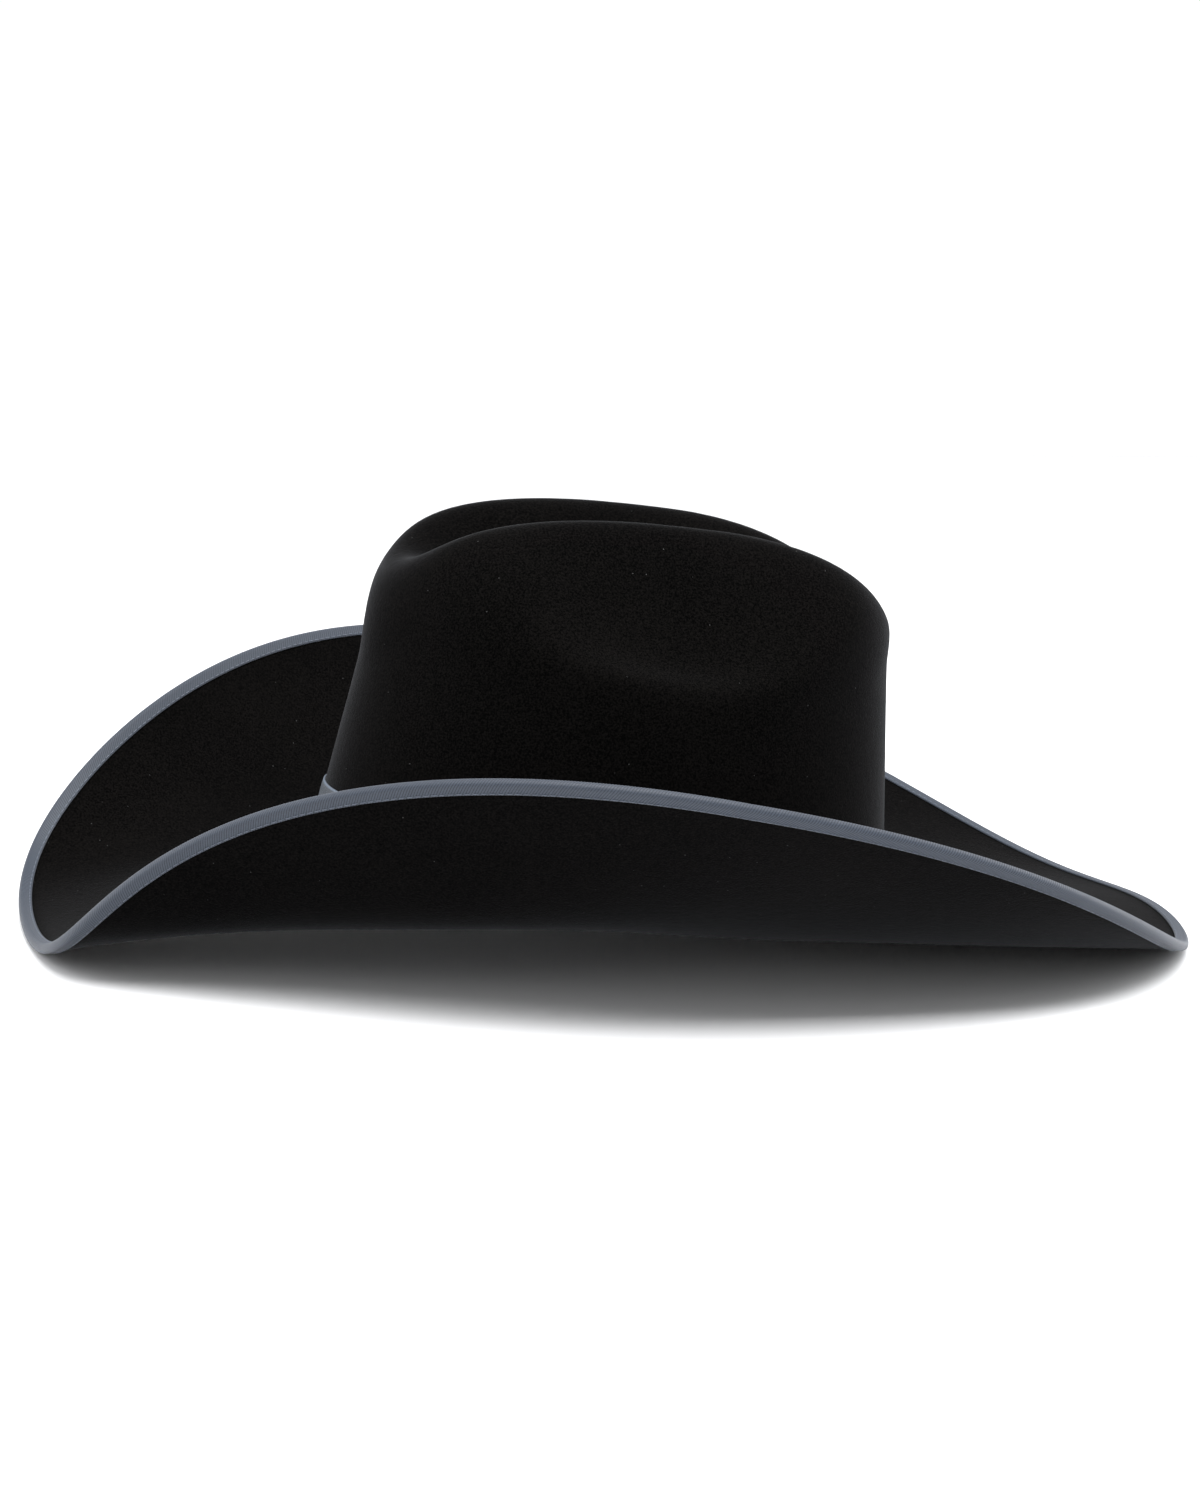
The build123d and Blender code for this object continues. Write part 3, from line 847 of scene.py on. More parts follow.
def patch(name, run_ends, heights, thick, centre, columns):
    """Flat piece on the leather's face, with soft edges."""
    runs = np.linspace(*run_ends, columns)
    low, high = heights
    edge = np.r_[0, 0.3, 0.8]
    up = np.r_[low + edge, np.linspace(low + 1.4, high - 1.4, 10), high - edge[::-1]]
    drop = np.r_[0.85, 0.35, 0.05, np.zeros(10), 0.05, 0.35, 0.85]
    drop = drop[None] * np.ones((columns, 1))
    at_end = np.minimum(np.arange(columns), columns - 1 - np.arange(columns))
    drop = np.maximum(drop, np.where(at_end == 0, 0.85, 0.0)[:, None])
    turn = np.broadcast_to(turn_at(centre, runs)[:, None], (columns, len(up)))
    start = np.interp(centre, fine_turn, fine_run) - np.interp(0.0, fine_turn, fine_run)
    base = np.stack([inner_face((start + r) / leather_length, up) for r in runs])
    back = base - PATCH_LIFT
    front = back - thick * (1 - SOFT_EDGE * drop)
    h = np.broadcast_to(up, back.shape)
    grid = np.concatenate([wall_point(turn, h, front),
                           wall_point(turn, h, back)[:, ::-1]], 1)
    over = np.r_[up - low, (high - low) + (up - low)]
    uv = np.stack(np.broadcast_arrays((runs - runs[0])[:, None], over[None]), -1) * MM
    return tube_grid(name, grid, uv, wrap_wide=False)


print("leather is", round(leather_length), "mm round its face")


# %% [markdown]
# The strip is as tall as the leather. The zigzag is the same short thread as before, each
# one laid from side to side.

# %% Joint strip, its zigzag and the label
ZIGS, ZIG_HALF_WIDTH, ZIG_START, ZIG_STEP = 24, 2.6, 6.0, 1.55
LABEL_X = -51.0

strip_piece = patch("leather_joint_strip", (-4, 4), (4.6, 44), 0.4, np.pi, columns=9)
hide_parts("sweatband_seam_strip")

half_turn = np.interp(np.pi, fine_turn, fine_run) - np.interp(0.0, fine_turn, fine_run)
half_way = half_turn / leather_length
u = np.linspace(0.04, 0.96, 6)
zig = []
for k in range(ZIGS):
    a, b = (-ZIG_HALF_WIDTH, ZIG_HALF_WIDTH) if k % 2 else (ZIG_HALF_WIDTH, -ZIG_HALF_WIDTH)
    h = ZIG_START + ZIG_STEP * (k + u)
    off = inner_face(half_way, h) - 0.5 - 0.06 * np.sin(np.pi * u)
    zig.append(wall_point(turn_at(np.pi, a + (b - a) * u), h, off))
joint_stitches = build_mesh("joint_zigzag", *capsules(zig, THREAD))

label = patch("woven_label", (-11.5, 11.5), (12, 26), 0.25,
              float(np.arccos(LABEL_X / (CROWN_HALF_LENGTH - 8))), columns=26)
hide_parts("size_label")
print("zigzag threads", len(zig), "label faces", len(label.data.polygons))


# %% [markdown]
# A tiny ribbon bow covers the leather's joint. It is the side bow's own strip helper with
# finer ribs: two loops, a wrap and two tails.

# %% Small ribbon bow at the back of the leather
SMALL_BOW_HEIGHT = 10.0
TAIL_SLANT = 0.16
FINE_RIBBON = {"pitch": 0.5, "height": 0.03, "margin": 0.3, "rows": 5}


def on_back(run, across, off):
    """Point on the inside of the leather at the back of the head."""
    return wall_point(turn_at(np.pi, run), SMALL_BOW_HEIGHT + across, off)


def tail_down(run, across, off):
    """The same for the first tail, which slants down; the second is its mirror image."""
    return wall_point(turn_at(np.pi, run), SMALL_BOW_HEIGHT - TAIL_SLANT * run + across, off)


def tail_up(run, across, off):
    return wall_point(turn_at(np.pi, run), SMALL_BOW_HEIGHT + TAIL_SLANT * run + across, off)


small = loop_path(10.4, -6.55, -7.15, -0.35)
tail = np.array([(0.5, -6.5), (4, -6.45), (8, -6.5), (12.6, -6.62)])
small_wrap = np.array([(-2.0, -7.3), (-1.9, -7.5), (-1.2, -7.62), (0, -7.66), (1.2, -7.62),
                       (1.9, -7.5), (2.0, -7.3)])
inside_bow = joined("inside_bow", [
    strip("loop_one", small[::-1], 2.4, 0.22, on_back, waist=0.35, **FINE_RIBBON),
    strip("loop_two", small * (-1, 1), 2.4, 0.22, on_back, waist=0.35, **FINE_RIBBON),
    strip("wrap", small_wrap, 2.7, 0.22, on_back, **FINE_RIBBON),
    strip("tail_one", tail, 2.2, 0.2, tail_down, **FINE_RIBBON),
    strip("tail_two", tail[::-1] * (-1, 1), 2.2, 0.2, tail_up, **FINE_RIBBON)])
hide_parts("sweatband_bow")
print("inside bow faces", len(inside_bow.data.polygons))


# %% [markdown]
# The lining is a satin sleeve gathered into the piping at its top, with a flat tip sewn
# in. Its gathers are deepest at the piping and die out where the leather holds it.

# %% Lining sleeve
GATHERS = 96
LINING_LOW, LINING_TOP = 16, 70


def gather(share, h, off):
    """Folds of the sleeve, deepest at the piping."""
    phase = 2 * np.pi * GATHERS * share + 1.3 * np.sin(2 * np.pi * 7 * share)
    wave = (0.5 + 0.5 * np.cos(phase)) ** 1.4
    slow = 0.5 + 0.5 * np.sin(2 * np.pi * 9 * share + 0.4)
    rise = np.clip((h - 30) / 40, 0, 1) ** 1.5
    return h, off - rise * (0.85 * wave[:, None] * (0.6 + 0.4 * slow[:, None]))


heights = np.linspace(LINING_LOW, LINING_TOP, 24)
sleeve = ([(LINING_LOW, -2.93)] + [(h, -2.97) for h in heights[1:]]
          + [(h, -2.6) for h in heights[::-1]])
lining = ring_section("lining_sleeve", sleeve, 960, gather)
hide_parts("lining_side")
print("lining faces", len(lining.data.polygons))


# %% [markdown]
# The piping is a cord of three strands. A plain round tube would look like wire, so its
# section is three-lobed and turns as it goes round.

# %% Piping
PIPING_HEIGHT, PIPING_OFFSET, PIPING_RADIUS = 69.3, -3.62, 0.6
PIPING_COLUMNS, TWIST_LENGTH = 900, 4.5

twist_turn = np.linspace(0, 2 * np.pi, 14, endpoint=False)
angle, piping_length = even_angles(PIPING_COLUMNS, PIPING_HEIGHT, PIPING_OFFSET)
run = np.arange(PIPING_COLUMNS) * piping_length / PIPING_COLUMNS
twist = 2 * np.pi * (run / TWIST_LENGTH)[:, None]
strands = PIPING_RADIUS * (0.86 + 0.14 * np.abs(np.cos(1.5 * (twist_turn[None] - twist))))
h = PIPING_HEIGHT + strands * np.cos(twist_turn)[None]
off = PIPING_OFFSET - strands * np.sin(twist_turn)[None]
piping_uv = np.stack(np.broadcast_arrays(run[:, None], twist_turn[None] * PIPING_RADIUS), -1) * MM
piping = tube_grid("lining_cord", wall_point(np.broadcast_to(angle[:, None], h.shape), h, off),
                   piping_uv)
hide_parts("lining_piping")
print("piping faces", len(piping.data.polygons))


# %% [markdown]
# The tip and its shield are flat ovals that close the lining. The satin puckers a little at
# its rim, once for each gather of the sleeve.

# %% Tip and shield
TIP_HALVES, SHIELD_HALVES = (93.6, 76.0), (62.0, 46.0)


def disc(name, h, halves, thick, pucker=0.0, rings=16, columns=288):
    """Thin ellipse across the crown; its lower face may pucker near the rim."""
    share = np.r_[0.02, np.linspace(0.12, 0.9, rings - 5), 0.94, 0.97, 0.99, 1.0]
    turn = np.linspace(0, 2 * np.pi, columns, endpoint=False)
    x = halves[0] * share[None] * np.cos(turn)[:, None]
    y = halves[1] * share[None] * np.sin(turn)[:, None]
    wave = (0.5 + 0.5 * np.cos(turn * GATHERS))[:, None] * np.clip((share - 0.8) / 0.2, 0, 1)[None]
    rim = np.where(share > 0.995, 0.2, 0.0)[None] * thick
    top = h + thick - rim + 0 * x
    low = h + rim + pucker * wave
    grid = np.concatenate([in_crown(x, y, low), in_crown(x, y, top)[:, ::-1]], 1)
    flat = np.stack([x, y], -1)
    uv = np.concatenate([flat, flat[:, ::-1]], 1) * MM
    return tube_grid(name, grid, uv)


tip = disc("lining_top", 70.05, TIP_HALVES, 0.55, pucker=0.25)
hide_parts("lining_tip")
shield = disc("shield_sheet", 69.7, SHIELD_HALVES, 0.3, rings=9, columns=120)
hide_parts("tip_shield")
print("tip faces", len(tip.data.polygons), "shield", len(shield.data.polygons))


# %% [markdown]
# ## Shared surface effects
#
# The cross ribs of woven ribbon turn up in four finishes, so they are a node group with
# their own input. The felt's short nap and its fine lint are groups too, so that another
# felt piece could be given the same surface. A group only works out masks and heights;
# every shader stays in its own material.

# %% Node helpers
def new_group(name, inputs, outputs):
    """Empty group with sockets: inputs are (label, kind, value), outputs (label, kind)."""
    group = bpy.data.node_groups.new(name, "ShaderNodeTree")
    for label, kind, value in inputs:
        socket = group.interface.new_socket(label, in_out="INPUT", socket_type=kind)
        socket.default_value = value
    for label, kind in outputs:
        group.interface.new_socket(label, in_out="OUTPUT", socket_type=kind)
    return group, group.nodes.new("NodeGroupInput"), group.nodes.new("NodeGroupOutput")


def node(tree, kind, links=None, **settings):
    """New node: links maps inputs to sources, _0 and _1 set inputs, the rest set it up."""
    made = tree.nodes.new(kind)
    for key, value in settings.items():
        if key[0] == "_":
            made.inputs[int(key[1:])].default_value = value
        else:
            setattr(made, key, value)
    for socket, source in (links or {}).items():
        tree.links.new(source, made.inputs[socket])
    return made


def math_node(tree, operation, a, b=None):
    """One sum of two numbers or sockets."""
    made = tree.nodes.new("ShaderNodeMath")
    made.operation = operation
    for socket, value in zip(made.inputs, (a, b)):
        if value is None:
            continue
        if isinstance(value, (int, float)):
            socket.default_value = value
        else:
            tree.links.new(value, socket)
    return made.outputs[0]


def span(tree, value, low, high, to_low=0.0, to_high=1.0):
    """Maps low..high to to_low..to_high and stops at the ends."""
    made = node(tree, "ShaderNodeMapRange", {0: value}, _1=low, _2=high, _3=to_low, _4=to_high)
    return made.outputs[0]


FLOAT = "NodeSocketFloat"
print("node helpers for", FLOAT, "sockets")


# %% [markdown]
# Brushed felt could be made of hairs, but they would be too many to carry in a reusable
# part. Noise at the scale of the fibres gives the same broken black.

# %% Felt nap and lint
SPECK_SIZE = 0.085             # share of a cell


def nap_group():
    """Short brushed fibres at two scales, with slow clouds where the nap lies another way."""
    group, gin, gout = new_group("felt_nap", [("Fibre", FLOAT, 1800.0), ("Cloud", FLOAT, 22.0)],
                                 [("Height", FLOAT), ("Shade", FLOAT)])
    place = node(group, "ShaderNodeTexCoord").outputs["Object"]
    fine = node(group, "ShaderNodeTexNoise", {"Vector": place, "Scale": gin.outputs["Fibre"]})
    fine.inputs["Detail"].default_value = 3.0
    middle = node(group, "ShaderNodeTexNoise", {
        "Vector": place, "Scale": math_node(group, "MULTIPLY", gin.outputs["Fibre"], 0.22)})
    middle.inputs["Detail"].default_value = 4.0
    cloud = node(group, "ShaderNodeTexNoise", {"Vector": place, "Scale": gin.outputs["Cloud"]})
    cloud.inputs["Detail"].default_value = 5.0
    height = math_node(group, "ADD", math_node(group, "MULTIPLY", fine.outputs["Fac"], 0.6),
                       math_node(group, "MULTIPLY", middle.outputs["Fac"], 0.4))
    shade = math_node(group, "ADD", math_node(group, "MULTIPLY", fine.outputs["Fac"], 0.82),
                      math_node(group, "MULTIPLY", cloud.outputs["Fac"], 0.18))
    group.links.new(height, gout.inputs["Height"])
    group.links.new(shade, gout.inputs["Shade"])
    return group


def lint_group():
    """Rare pale dots: one cell in so many holds a speck at its middle."""
    group, gin, gout = new_group("lint", [("Spacing", FLOAT, 260.0), ("Amount", FLOAT, 0.05)],
                                 [("Mask", FLOAT)])
    place = node(group, "ShaderNodeTexCoord").outputs["Object"]
    cells = node(group, "ShaderNodeTexVoronoi",
                 {"Vector": place, "Scale": gin.outputs["Spacing"]})
    chance = node(group, "ShaderNodeSeparateColor", {0: cells.outputs["Color"]}).outputs[0]
    rare = math_node(group, "LESS_THAN", chance, gin.outputs["Amount"])
    size = math_node(group, "LESS_THAN", cells.outputs["Distance"], SPECK_SIZE)
    group.links.new(math_node(group, "MULTIPLY", rare, size), gout.inputs["Mask"])
    return group


groups = {"nap": nap_group(), "lint": lint_group()}
print("groups", list(groups))


# %% [markdown]
# The real ridges carry the large shape, and this group adds what lies on them: a groove mask
# for painted shade between the ribs, the weft threads across them, and yarns of uneven tone.

# %% Cross ribs
WEFT_THREAD = 0.00038          # metres from one weft thread to the next


def ribs_group():
    """Ribs along the first UV axis, with the weft threads that cross them."""
    group, gin, gout = new_group("cross_ribs", [("Pitch", FLOAT, RIB * MM)],
                                 [("Height", FLOAT), ("Groove", FLOAT), ("Yarn", FLOAT)])
    uv = node(group, "ShaderNodeUVMap", uv_map="metres").outputs[0]
    parts = node(group, "ShaderNodeSeparateXYZ", {0: uv})
    turn = math_node(group, "DIVIDE", parts.outputs[0], gin.outputs["Pitch"])
    swing = math_node(group, "COSINE", math_node(group, "MULTIPLY", turn, 2 * math.pi))
    # groove marks where the ribbon finishes paint shade between the ribs
    groove = span(group, swing, 0.2, 1.0)
    weft = math_node(group, "SINE", math_node(group, "MULTIPLY", parts.outputs[1],
                                              2 * math.pi / WEFT_THREAD))
    yarn = node(group, "ShaderNodeTexNoise", {"Vector": node(
        group, "ShaderNodeVectorMath", {0: uv}, operation="MULTIPLY",
        _1=(900.0, 5200.0, 1.0)).outputs[0]}, _2=1.0)
    height = math_node(group, "ADD", math_node(group, "MULTIPLY", weft, 0.35),
                       math_node(group, "MULTIPLY", swing, -0.5))
    group.links.new(height, gout.inputs["Height"])
    group.links.new(groove, gout.inputs["Groove"])
    group.links.new(yarn.outputs["Fac"], gout.inputs["Yarn"])
    return group


groups["ribs"] = ribs_group()
print("groups", list(groups))


# %% [markdown]
# ## Finishes
#
# Black fur felt is almost lampblack, but the ends of the fur catch light that skims the
# surface, so the crown glows at its outline and goes dark where it faces the eye. The
# sheen lobe of the shader does that. The ribbon is a slate blue-grey, shinier on its ribs,
# with painted shade in the grooves between them.

# %% Material helpers
def new_material(name):
    """Empty material with one Principled shader."""
    made = bpy.data.materials.new(name)
    made.use_nodes = True
    tree = made.node_tree
    tree.nodes.clear()
    shader = tree.nodes.new("ShaderNodeBsdfPrincipled")
    out = tree.nodes.new("ShaderNodeOutputMaterial")
    tree.links.new(shader.outputs[0], out.inputs[0])
    return made, tree, shader


def place_group(tree, key, **values):
    """One of the shared groups, with this finish's own values."""
    made = tree.nodes.new("ShaderNodeGroup")
    made.node_tree = groups[key]
    for label, value in values.items():
        made.inputs[label].default_value = value
    return made


def blend_colours(tree, factor, first, second):
    """Mix of two colours; each input may be a value or a socket."""
    made = tree.nodes.new("ShaderNodeMix")
    made.data_type = "RGBA"
    for socket, value in ((made.inputs[0], factor), (made.inputs[6], first),
                          (made.inputs[7], second)):
        if isinstance(value, bpy.types.NodeSocket):
            tree.links.new(value, socket)
        else:
            socket.default_value = value if isinstance(value, (int, float)) else (*value, 1.0)
    return made.outputs[2]


def add_bump(tree, shader, height, distance, strength):
    """Fine relief, distance in metres."""
    bump = node(tree, "ShaderNodeBump", {"Height": height})
    bump.inputs["Distance"].default_value = distance
    bump.inputs["Strength"].default_value = strength
    tree.links.new(bump.outputs[0], shader.inputs["Normal"])


def dress(piece, finish):
    """Gives a piece its finish in place of what it had."""
    piece.data.materials.clear()
    piece.data.materials.append(finish)


# %% [markdown]
# The felt is almost without shine. The low sheen is all that lifts its outline.

# %% Felt finish
def felt_material():
    """Black felt: colour from the nap, rare lint, and a low sheen for skimming light."""
    made, tree, shader = new_material("black_fur_felt")
    nap = place_group(tree, "nap", Fibre=1500.0, Cloud=18.0)
    lint = place_group(tree, "lint", Spacing=420.0, Amount=0.06)
    base = blend_colours(tree, span(tree, nap.outputs["Shade"], 0.40, 0.62),
                         (0.0004, 0.0004, 0.0004), (0.0038, 0.0034, 0.0032))
    speck = blend_colours(tree, math_node(tree, "MULTIPLY", lint.outputs["Mask"], 0.45),
                          base, (0.11, 0.11, 0.11))
    tree.links.new(speck, shader.inputs["Base Color"])
    shader.inputs["Roughness"].default_value = 0.95
    shader.inputs["Specular IOR Level"].default_value = 0.02
    shader.inputs["Sheen Weight"].default_value = 0.08
    shader.inputs["Sheen Roughness"].default_value = 0.3
    shader.inputs["Sheen Tint"].default_value = (0.9, 0.93, 1.0, 1.0)
    add_bump(tree, shader, nap.outputs["Height"], 0.00035, 0.8)
    return made


felt_finish = felt_material()
dress(felt_hat, felt_finish)
print("felt finish", felt_finish.name)


# %% [markdown]
# Both ribbons are one recipe with different colours. The hat band also has a painted
# highlight along its top edge.

# %% Ribbon and thread finishes
RIDGE_ROUGH, GROOVE_ROUGH = 0.48, 0.8
# width of the painted highlight along the band's top edge, in millimetres
TOP_HIGHLIGHT_WIDTH = 0.8                 # width of the pale margin
TOP_HIGHLIGHT_FADE = 0.0002


def ribbon_material(name, dark, light, highlight_at=None):
    """Grosgrain; highlight_at is where a painted highlight along the top edge starts, in metres
    across the ribbon.
    """
    made, tree, shader = new_material(name)
    ribs = place_group(tree, "ribs")
    yarn = blend_colours(tree, span(tree, ribs.outputs["Yarn"], 0.3, 0.7), dark, light)
    # painted shade: the grooves between the ribs are darkened towards a quarter of the dark yarn
    # colour
    groove_shade = tuple(0.25 * c for c in dark)
    shade = math_node(tree, "MULTIPLY", ribs.outputs["Groove"], 0.7)
    colour = blend_colours(tree, shade, yarn, groove_shade)
    # painted highlight: the band's top edge is painted 2.2 times the light yarn colour
    if highlight_at:
        uv = node(tree, "ShaderNodeUVMap", uv_map="metres").outputs[0]
        across = node(tree, "ShaderNodeSeparateXYZ", {0: uv}).outputs[1]
        edge = span(tree, across, highlight_at, highlight_at + TOP_HIGHLIGHT_FADE)
        colour = blend_colours(tree, edge, colour, tuple(2.2 * c for c in light))
    tree.links.new(colour, shader.inputs["Base Color"])
    rough = span(tree, ribs.outputs["Groove"], 0.0, 1.0, RIDGE_ROUGH, GROOVE_ROUGH)
    tree.links.new(rough, shader.inputs["Roughness"])
    shader.inputs["Specular IOR Level"].default_value = 0.4
    shader.inputs["Sheen Weight"].default_value = 0.1
    shader.inputs["Sheen Roughness"].default_value = 0.4
    add_bump(tree, shader, ribs.outputs["Height"], 0.00006, 0.6)
    return made


def thread_material():
    """Sewing thread a little paler than the ribbon."""
    made, tree, shader = new_material("sewing_thread")
    place = node(tree, "ShaderNodeTexCoord").outputs["Object"]
    ply = node(tree, "ShaderNodeTexNoise", {"Vector": place}, _2=4200.0)
    colour = blend_colours(tree, ply.outputs["Fac"], (0.05, 0.062, 0.082), (0.14, 0.165, 0.21))
    tree.links.new(colour, shader.inputs["Base Color"])
    shader.inputs["Roughness"].default_value = 0.5
    add_bump(tree, shader, ply.outputs["Fac"], 0.00005, 0.7)
    return made


SLATE_DARK, SLATE_LIGHT = (0.016, 0.022, 0.031), (0.034, 0.044, 0.059)

binding_finish = ribbon_material("slate_binding_ribbon", (0.020, 0.027, 0.041),
                                 (0.038, 0.049, 0.070))
band_finish = ribbon_material("slate_band_ribbon", SLATE_DARK, SLATE_LIGHT,
                              highlight_at=(BAND_WIDTH - TOP_HIGHLIGHT_WIDTH) * MM)
bow_finish = ribbon_material("slate_bow_ribbon", SLATE_DARK, SLATE_LIGHT)
thread_finish = thread_material()

dress(bound_edge, binding_finish)
dress(band, band_finish)
for row in (stitches_top, stitches_under):
    dress(row, thread_finish)
print("materials", [m.name for m in bpy.data.materials])


# %% [markdown]
# ## Finishes inside the crown
#
# Cloth that is woven plainly takes its pattern from the metres of its own UV map. Satin has
# long floats that all lie one way, so its noise is stretched along them. The leather is a
# dark roan with fine pores.

# %% Cloth and satin
def weave_material(name, dark, light, thread_size):
    """Plain woven cloth: warp and weft waves from the unrolled length and width."""
    made, tree, shader = new_material(name)
    uv = node(tree, "ShaderNodeUVMap", uv_map="metres").outputs[0]
    parts = node(tree, "ShaderNodeSeparateXYZ", {0: uv})
    turns = [math_node(tree, "MULTIPLY", parts.outputs[k], 2 * math.pi / thread_size)
             for k in (0, 1)]
    waves = [math_node(tree, "SINE", turn) for turn in turns]
    height = math_node(tree, "MULTIPLY", waves[0], waves[1])
    speck = node(tree, "ShaderNodeTexNoise", {"Vector": uv}, _2=700.0)
    shade = math_node(tree, "ADD", span(tree, height, -1, 1, 0, 0.5),
                      math_node(tree, "MULTIPLY", speck.outputs["Fac"], 0.5))
    tree.links.new(blend_colours(tree, shade, dark, light), shader.inputs["Base Color"])
    shader.inputs["Roughness"].default_value = 0.6
    shader.inputs["Sheen Weight"].default_value = 0.1
    add_bump(tree, shader, height, thread_size * 0.25, 0.6)
    return made


def satin_material():
    """Blue-grey satin with fine streaks along its floats."""
    made, tree, shader = new_material("blue_grey_satin")
    uv = node(tree, "ShaderNodeUVMap", uv_map="metres").outputs[0]
    stretched = node(tree, "ShaderNodeVectorMath", {0: uv}, operation="MULTIPLY",
                     _1=(2600, 160, 1)).outputs[0]
    streak = node(tree, "ShaderNodeTexNoise", {"Vector": stretched}, _2=1.0)
    colour = blend_colours(tree, streak.outputs["Fac"], (0.13, 0.15, 0.19), (0.24, 0.27, 0.33))
    tree.links.new(colour, shader.inputs["Base Color"])
    shader.inputs["Roughness"].default_value = 0.34
    shader.inputs["Sheen Weight"].default_value = 0.25
    shader.inputs["Specular IOR Level"].default_value = 0.6
    add_bump(tree, shader, streak.outputs["Fac"], 0.00004, 0.5)
    return made


satin = satin_material()
print("satin finish", satin.name)


# %% [markdown]
# The grain of leather is a net of pores, which a Voronoi texture draws well. Reed and
# film are plain plastics, so a faint mottle is enough.

# %% Leather, reed and film
def leather_material():
    """Dark leather: cloudy colour, pores darker and duller than the skin between them."""
    made, tree, shader = new_material("dark_roan_leather")
    place = node(tree, "ShaderNodeTexCoord").outputs["Object"]
    grain = node(tree, "ShaderNodeTexVoronoi", {"Vector": place}, feature="DISTANCE_TO_EDGE",
                 _2=1500.0)
    cloud = node(tree, "ShaderNodeTexNoise", {"Vector": place}, _2=28.0)
    fine = node(tree, "ShaderNodeTexNoise", {"Vector": place}, _2=3200.0)
    pore = span(tree, grain.outputs["Distance"], 0.0, 0.22)
    colour = blend_colours(tree, span(tree, cloud.outputs["Fac"], 0.35, 0.65),
                           (0.030, 0.019, 0.012), (0.062, 0.040, 0.026))
    dark_pore = span(tree, grain.outputs["Distance"], 0, 0.12, 0.5, 0.0)
    tree.links.new(blend_colours(tree, dark_pore, colour, (0.016, 0.010, 0.007)),
                   shader.inputs["Base Color"])
    tree.links.new(span(tree, pore, 0, 1, 0.62, 0.42), shader.inputs["Roughness"])
    height = math_node(tree, "ADD", pore, math_node(tree, "MULTIPLY", fine.outputs["Fac"], 0.3))
    add_bump(tree, shader, height, 0.00008, 0.6)
    return made


def plain_material(name, colour, rough, **more):
    """Smooth plastic with a faint mottle; more sets other inputs of the shader."""
    made, tree, shader = new_material(name)
    place = node(tree, "ShaderNodeTexCoord").outputs["Object"]
    soft = node(tree, "ShaderNodeTexNoise", {"Vector": place}, _2=900.0)
    deeper = tuple(0.8 * c for c in colour)
    tree.links.new(blend_colours(tree, soft.outputs["Fac"], deeper, colour),
                   shader.inputs["Base Color"])
    shader.inputs["Roughness"].default_value = rough
    for label, value in more.items():
        shader.inputs[label.replace("_", " ")].default_value = value
    add_bump(tree, shader, soft.outputs["Fac"], 0.00003, 0.4)
    return made


leather_finish = leather_material()
print("leather finish", leather_finish.name)


# %% [markdown]
# With every recipe in place, each inside piece gets its finish.

# %% Dress the inside pieces
tape_finish = weave_material("black_cotton_tape", (0.02, 0.02, 0.022), (0.07, 0.07, 0.075), 0.0007)
inside_bow_finish = ribbon_material("black_satin_ribbon", (0.012, 0.013, 0.016),
                                    (0.03, 0.032, 0.04))
label_finish = weave_material("white_woven_label", (0.55, 0.55, 0.52), (0.8, 0.8, 0.77), 0.0005)
reed_finish = plain_material("milky_reed", (0.72, 0.72, 0.68), 0.4)
cord_finish = weave_material("twisted_cord", (0.02, 0.024, 0.03), (0.075, 0.085, 0.105), 0.0004)
film_finish = plain_material("clear_film", (0.93, 0.95, 0.97), 0.08, Transmission_Weight=0.92,
                             IOR=1.46)
for piece, finish in (
        (bow, bow_finish), (knot, bow_finish), (leather_stitches, thread_finish),
        (joint_stitches, thread_finish), (leather, leather_finish), (strip_piece, leather_finish),
        (tape, tape_finish), (inside_bow, inside_bow_finish), (label, label_finish),
        (reed, reed_finish), (piping, cord_finish), (lining, satin), (tip, satin),
        (shield, film_finish)):
    dress(piece, finish)


# %% [markdown]


# %% [markdown]
# ## Floor, light and camera
#
# The hat stands on a white table in white surroundings, so its shadow is small and soft.
# Broad light from above shapes the crown, and a strip at each side draws a thin bright
# line down the crown's edges.

# %% Floor
FLOOR_HALF = 1.7
FLOOR_DROP = 0.0002            # keeps the floor clear of the lowest thread


def floor_piece():
    """White table top, which stands on the stage and is no part of the hat."""
    mesh = bpy.data.meshes.new("floor")
    size = FLOOR_HALF
    mesh.from_pydata([(-size, -size, 0), (size, -size, 0), (size, size, 0), (-size, size, 0)], [],
                     [(0, 1, 2, 3)])
    floor = bpy.data.objects.new("floor", mesh)
    bpy.context.collection.objects.link(floor)
    made, tree, shader = new_material("white_table")
    place = node(tree, "ShaderNodeTexCoord").outputs["Object"]
    paper = node(tree, "ShaderNodeTexNoise", {"Vector": place}, _2=9.0)
    colour = blend_colours(tree, paper.outputs["Fac"], (0.84, 0.845, 0.86), (0.87, 0.875, 0.885))
    tree.links.new(colour, shader.inputs["Base Color"])
    shader.inputs["Roughness"].default_value = 0.6
    shader.inputs["Specular IOR Level"].default_value = 0.2
    mesh.materials.append(made)
    return floor


floor = floor_piece()
floor.location.z = -FLOOR_DROP
print("floor", floor.dimensions[:])

# %% [markdown]
# The surroundings are a white room, a little dimmer in front of the hat than behind it, so
# that the background stays white while the felt facing the eye stays dark.

# %% World
FRONT_LEVEL, BACK_LEVEL = 0.72, 1.03

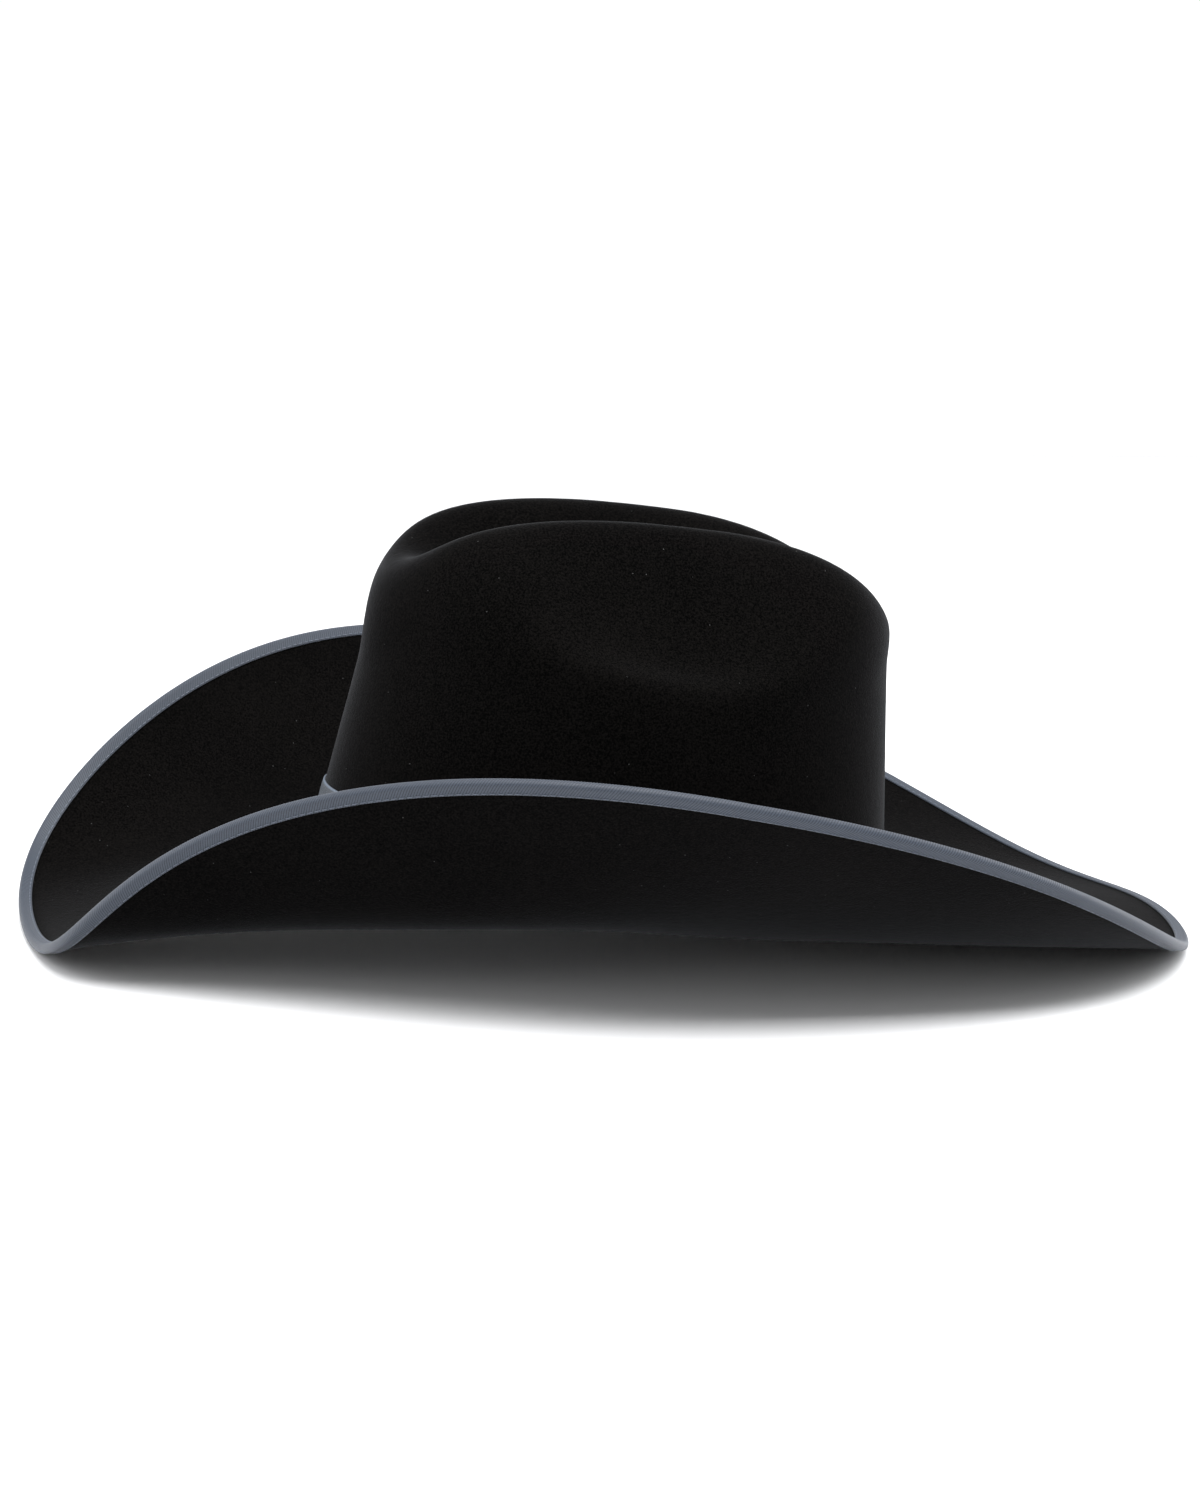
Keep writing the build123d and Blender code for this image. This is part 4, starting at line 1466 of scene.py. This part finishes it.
world = bpy.data.worlds.new("white_studio")
bpy.context.scene.world = world
world.use_nodes = True
tree = world.node_tree
tree.nodes.clear()
sky = node(tree, "ShaderNodeBackground")
out = node(tree, "ShaderNodeOutputWorld", {0: sky.outputs[0]})
way = node(tree, "ShaderNodeTexCoord").outputs["Generated"]
split = node(tree, "ShaderNodeSeparateXYZ", {0: way})
back = span(tree, split.outputs[1], -0.55, 0.25)
level = span(tree, back, 0.0, 1.0, FRONT_LEVEL, BACK_LEVEL)
sky.inputs["Color"].default_value = (1.0, 1.0, 1.0, 1.0)
tree.links.new(level, sky.inputs["Strength"])


print("world", world.name)


# %% [markdown]
# One broad light hangs above and a little in front of the hat, and a tall one stands at
# each side.

# %% Lights
def soft_light(name, at, aim, size, power):
    """Rectangular white light that faces the point aim."""
    lamp = bpy.data.lights.new(name, "AREA")
    lamp.shape = "RECTANGLE"
    lamp.size, lamp.size_y = size
    lamp.energy = power
    held = bpy.data.objects.new(name, lamp)
    held.location = at
    held.rotation_mode = "QUATERNION"
    held.rotation_quaternion = (Vector(aim) - Vector(at)).to_track_quat("-Z", "Y")
    bpy.context.collection.objects.link(held)


soft_light("top_softbox", (0.0, -0.5, 1.45), (0, 0, 0.05), (1.6, 0.9), 43)
soft_light("left_strip", (-1.3, 0.35, 0.55), (0, 0, 0.1), (0.5, 1.2), 10)
soft_light("right_strip", (1.3, 0.25, 0.55), (0, 0, 0.1), (0.5, 1.2), 12)

# %% [markdown]
# The camera stands on the wearer's right with the front of the hat to the right, a little
# above the brim, and looks slightly down. A long lens from a metre and a half away keeps
# the brim's curve from swelling towards the eye.

# %% Camera
YAW, DROP, ROLL = math.radians(14.01), math.radians(10.08), math.radians(1.52)
DISTANCE = 1.463
LENS = 97.365576
TARGET = Vector((0, 0, 0.05615))
AIM_LEFT, AIM_UP = 0.00303187, 0.00574330   # tangents of the turn away from the target

look = Vector((math.sin(YAW) * math.cos(DROP), math.cos(YAW) * math.cos(DROP), -math.sin(DROP)))
right = Vector((math.cos(YAW), -math.sin(YAW), 0))
up = right.cross(look)
tilted_right = right * math.cos(ROLL) + up * math.sin(ROLL)
tilted_up = up * math.cos(ROLL) - right * math.sin(ROLL)
camera_data = bpy.data.cameras.new("camera")
camera_data.lens = LENS
camera = bpy.data.objects.new("camera", camera_data)
bpy.context.collection.objects.link(camera)
camera.location = TARGET - DISTANCE * look
aim = look - tilted_right * AIM_LEFT + tilted_up * AIM_UP
aim.normalize()
side = aim.cross(tilted_up).normalized()
over = side.cross(aim)
camera.rotation_mode = "QUATERNION"
camera.rotation_quaternion = Matrix((side, over, -aim)).transposed().to_quaternion()
camera_data.clip_start, camera_data.clip_end = 0.05, 60
bpy.context.scene.camera = camera
bpy.context.scene.view_settings.view_transform = "Standard"
print("camera", [round(v, 3) for v in camera.location], "lens", round(LENS, 1))
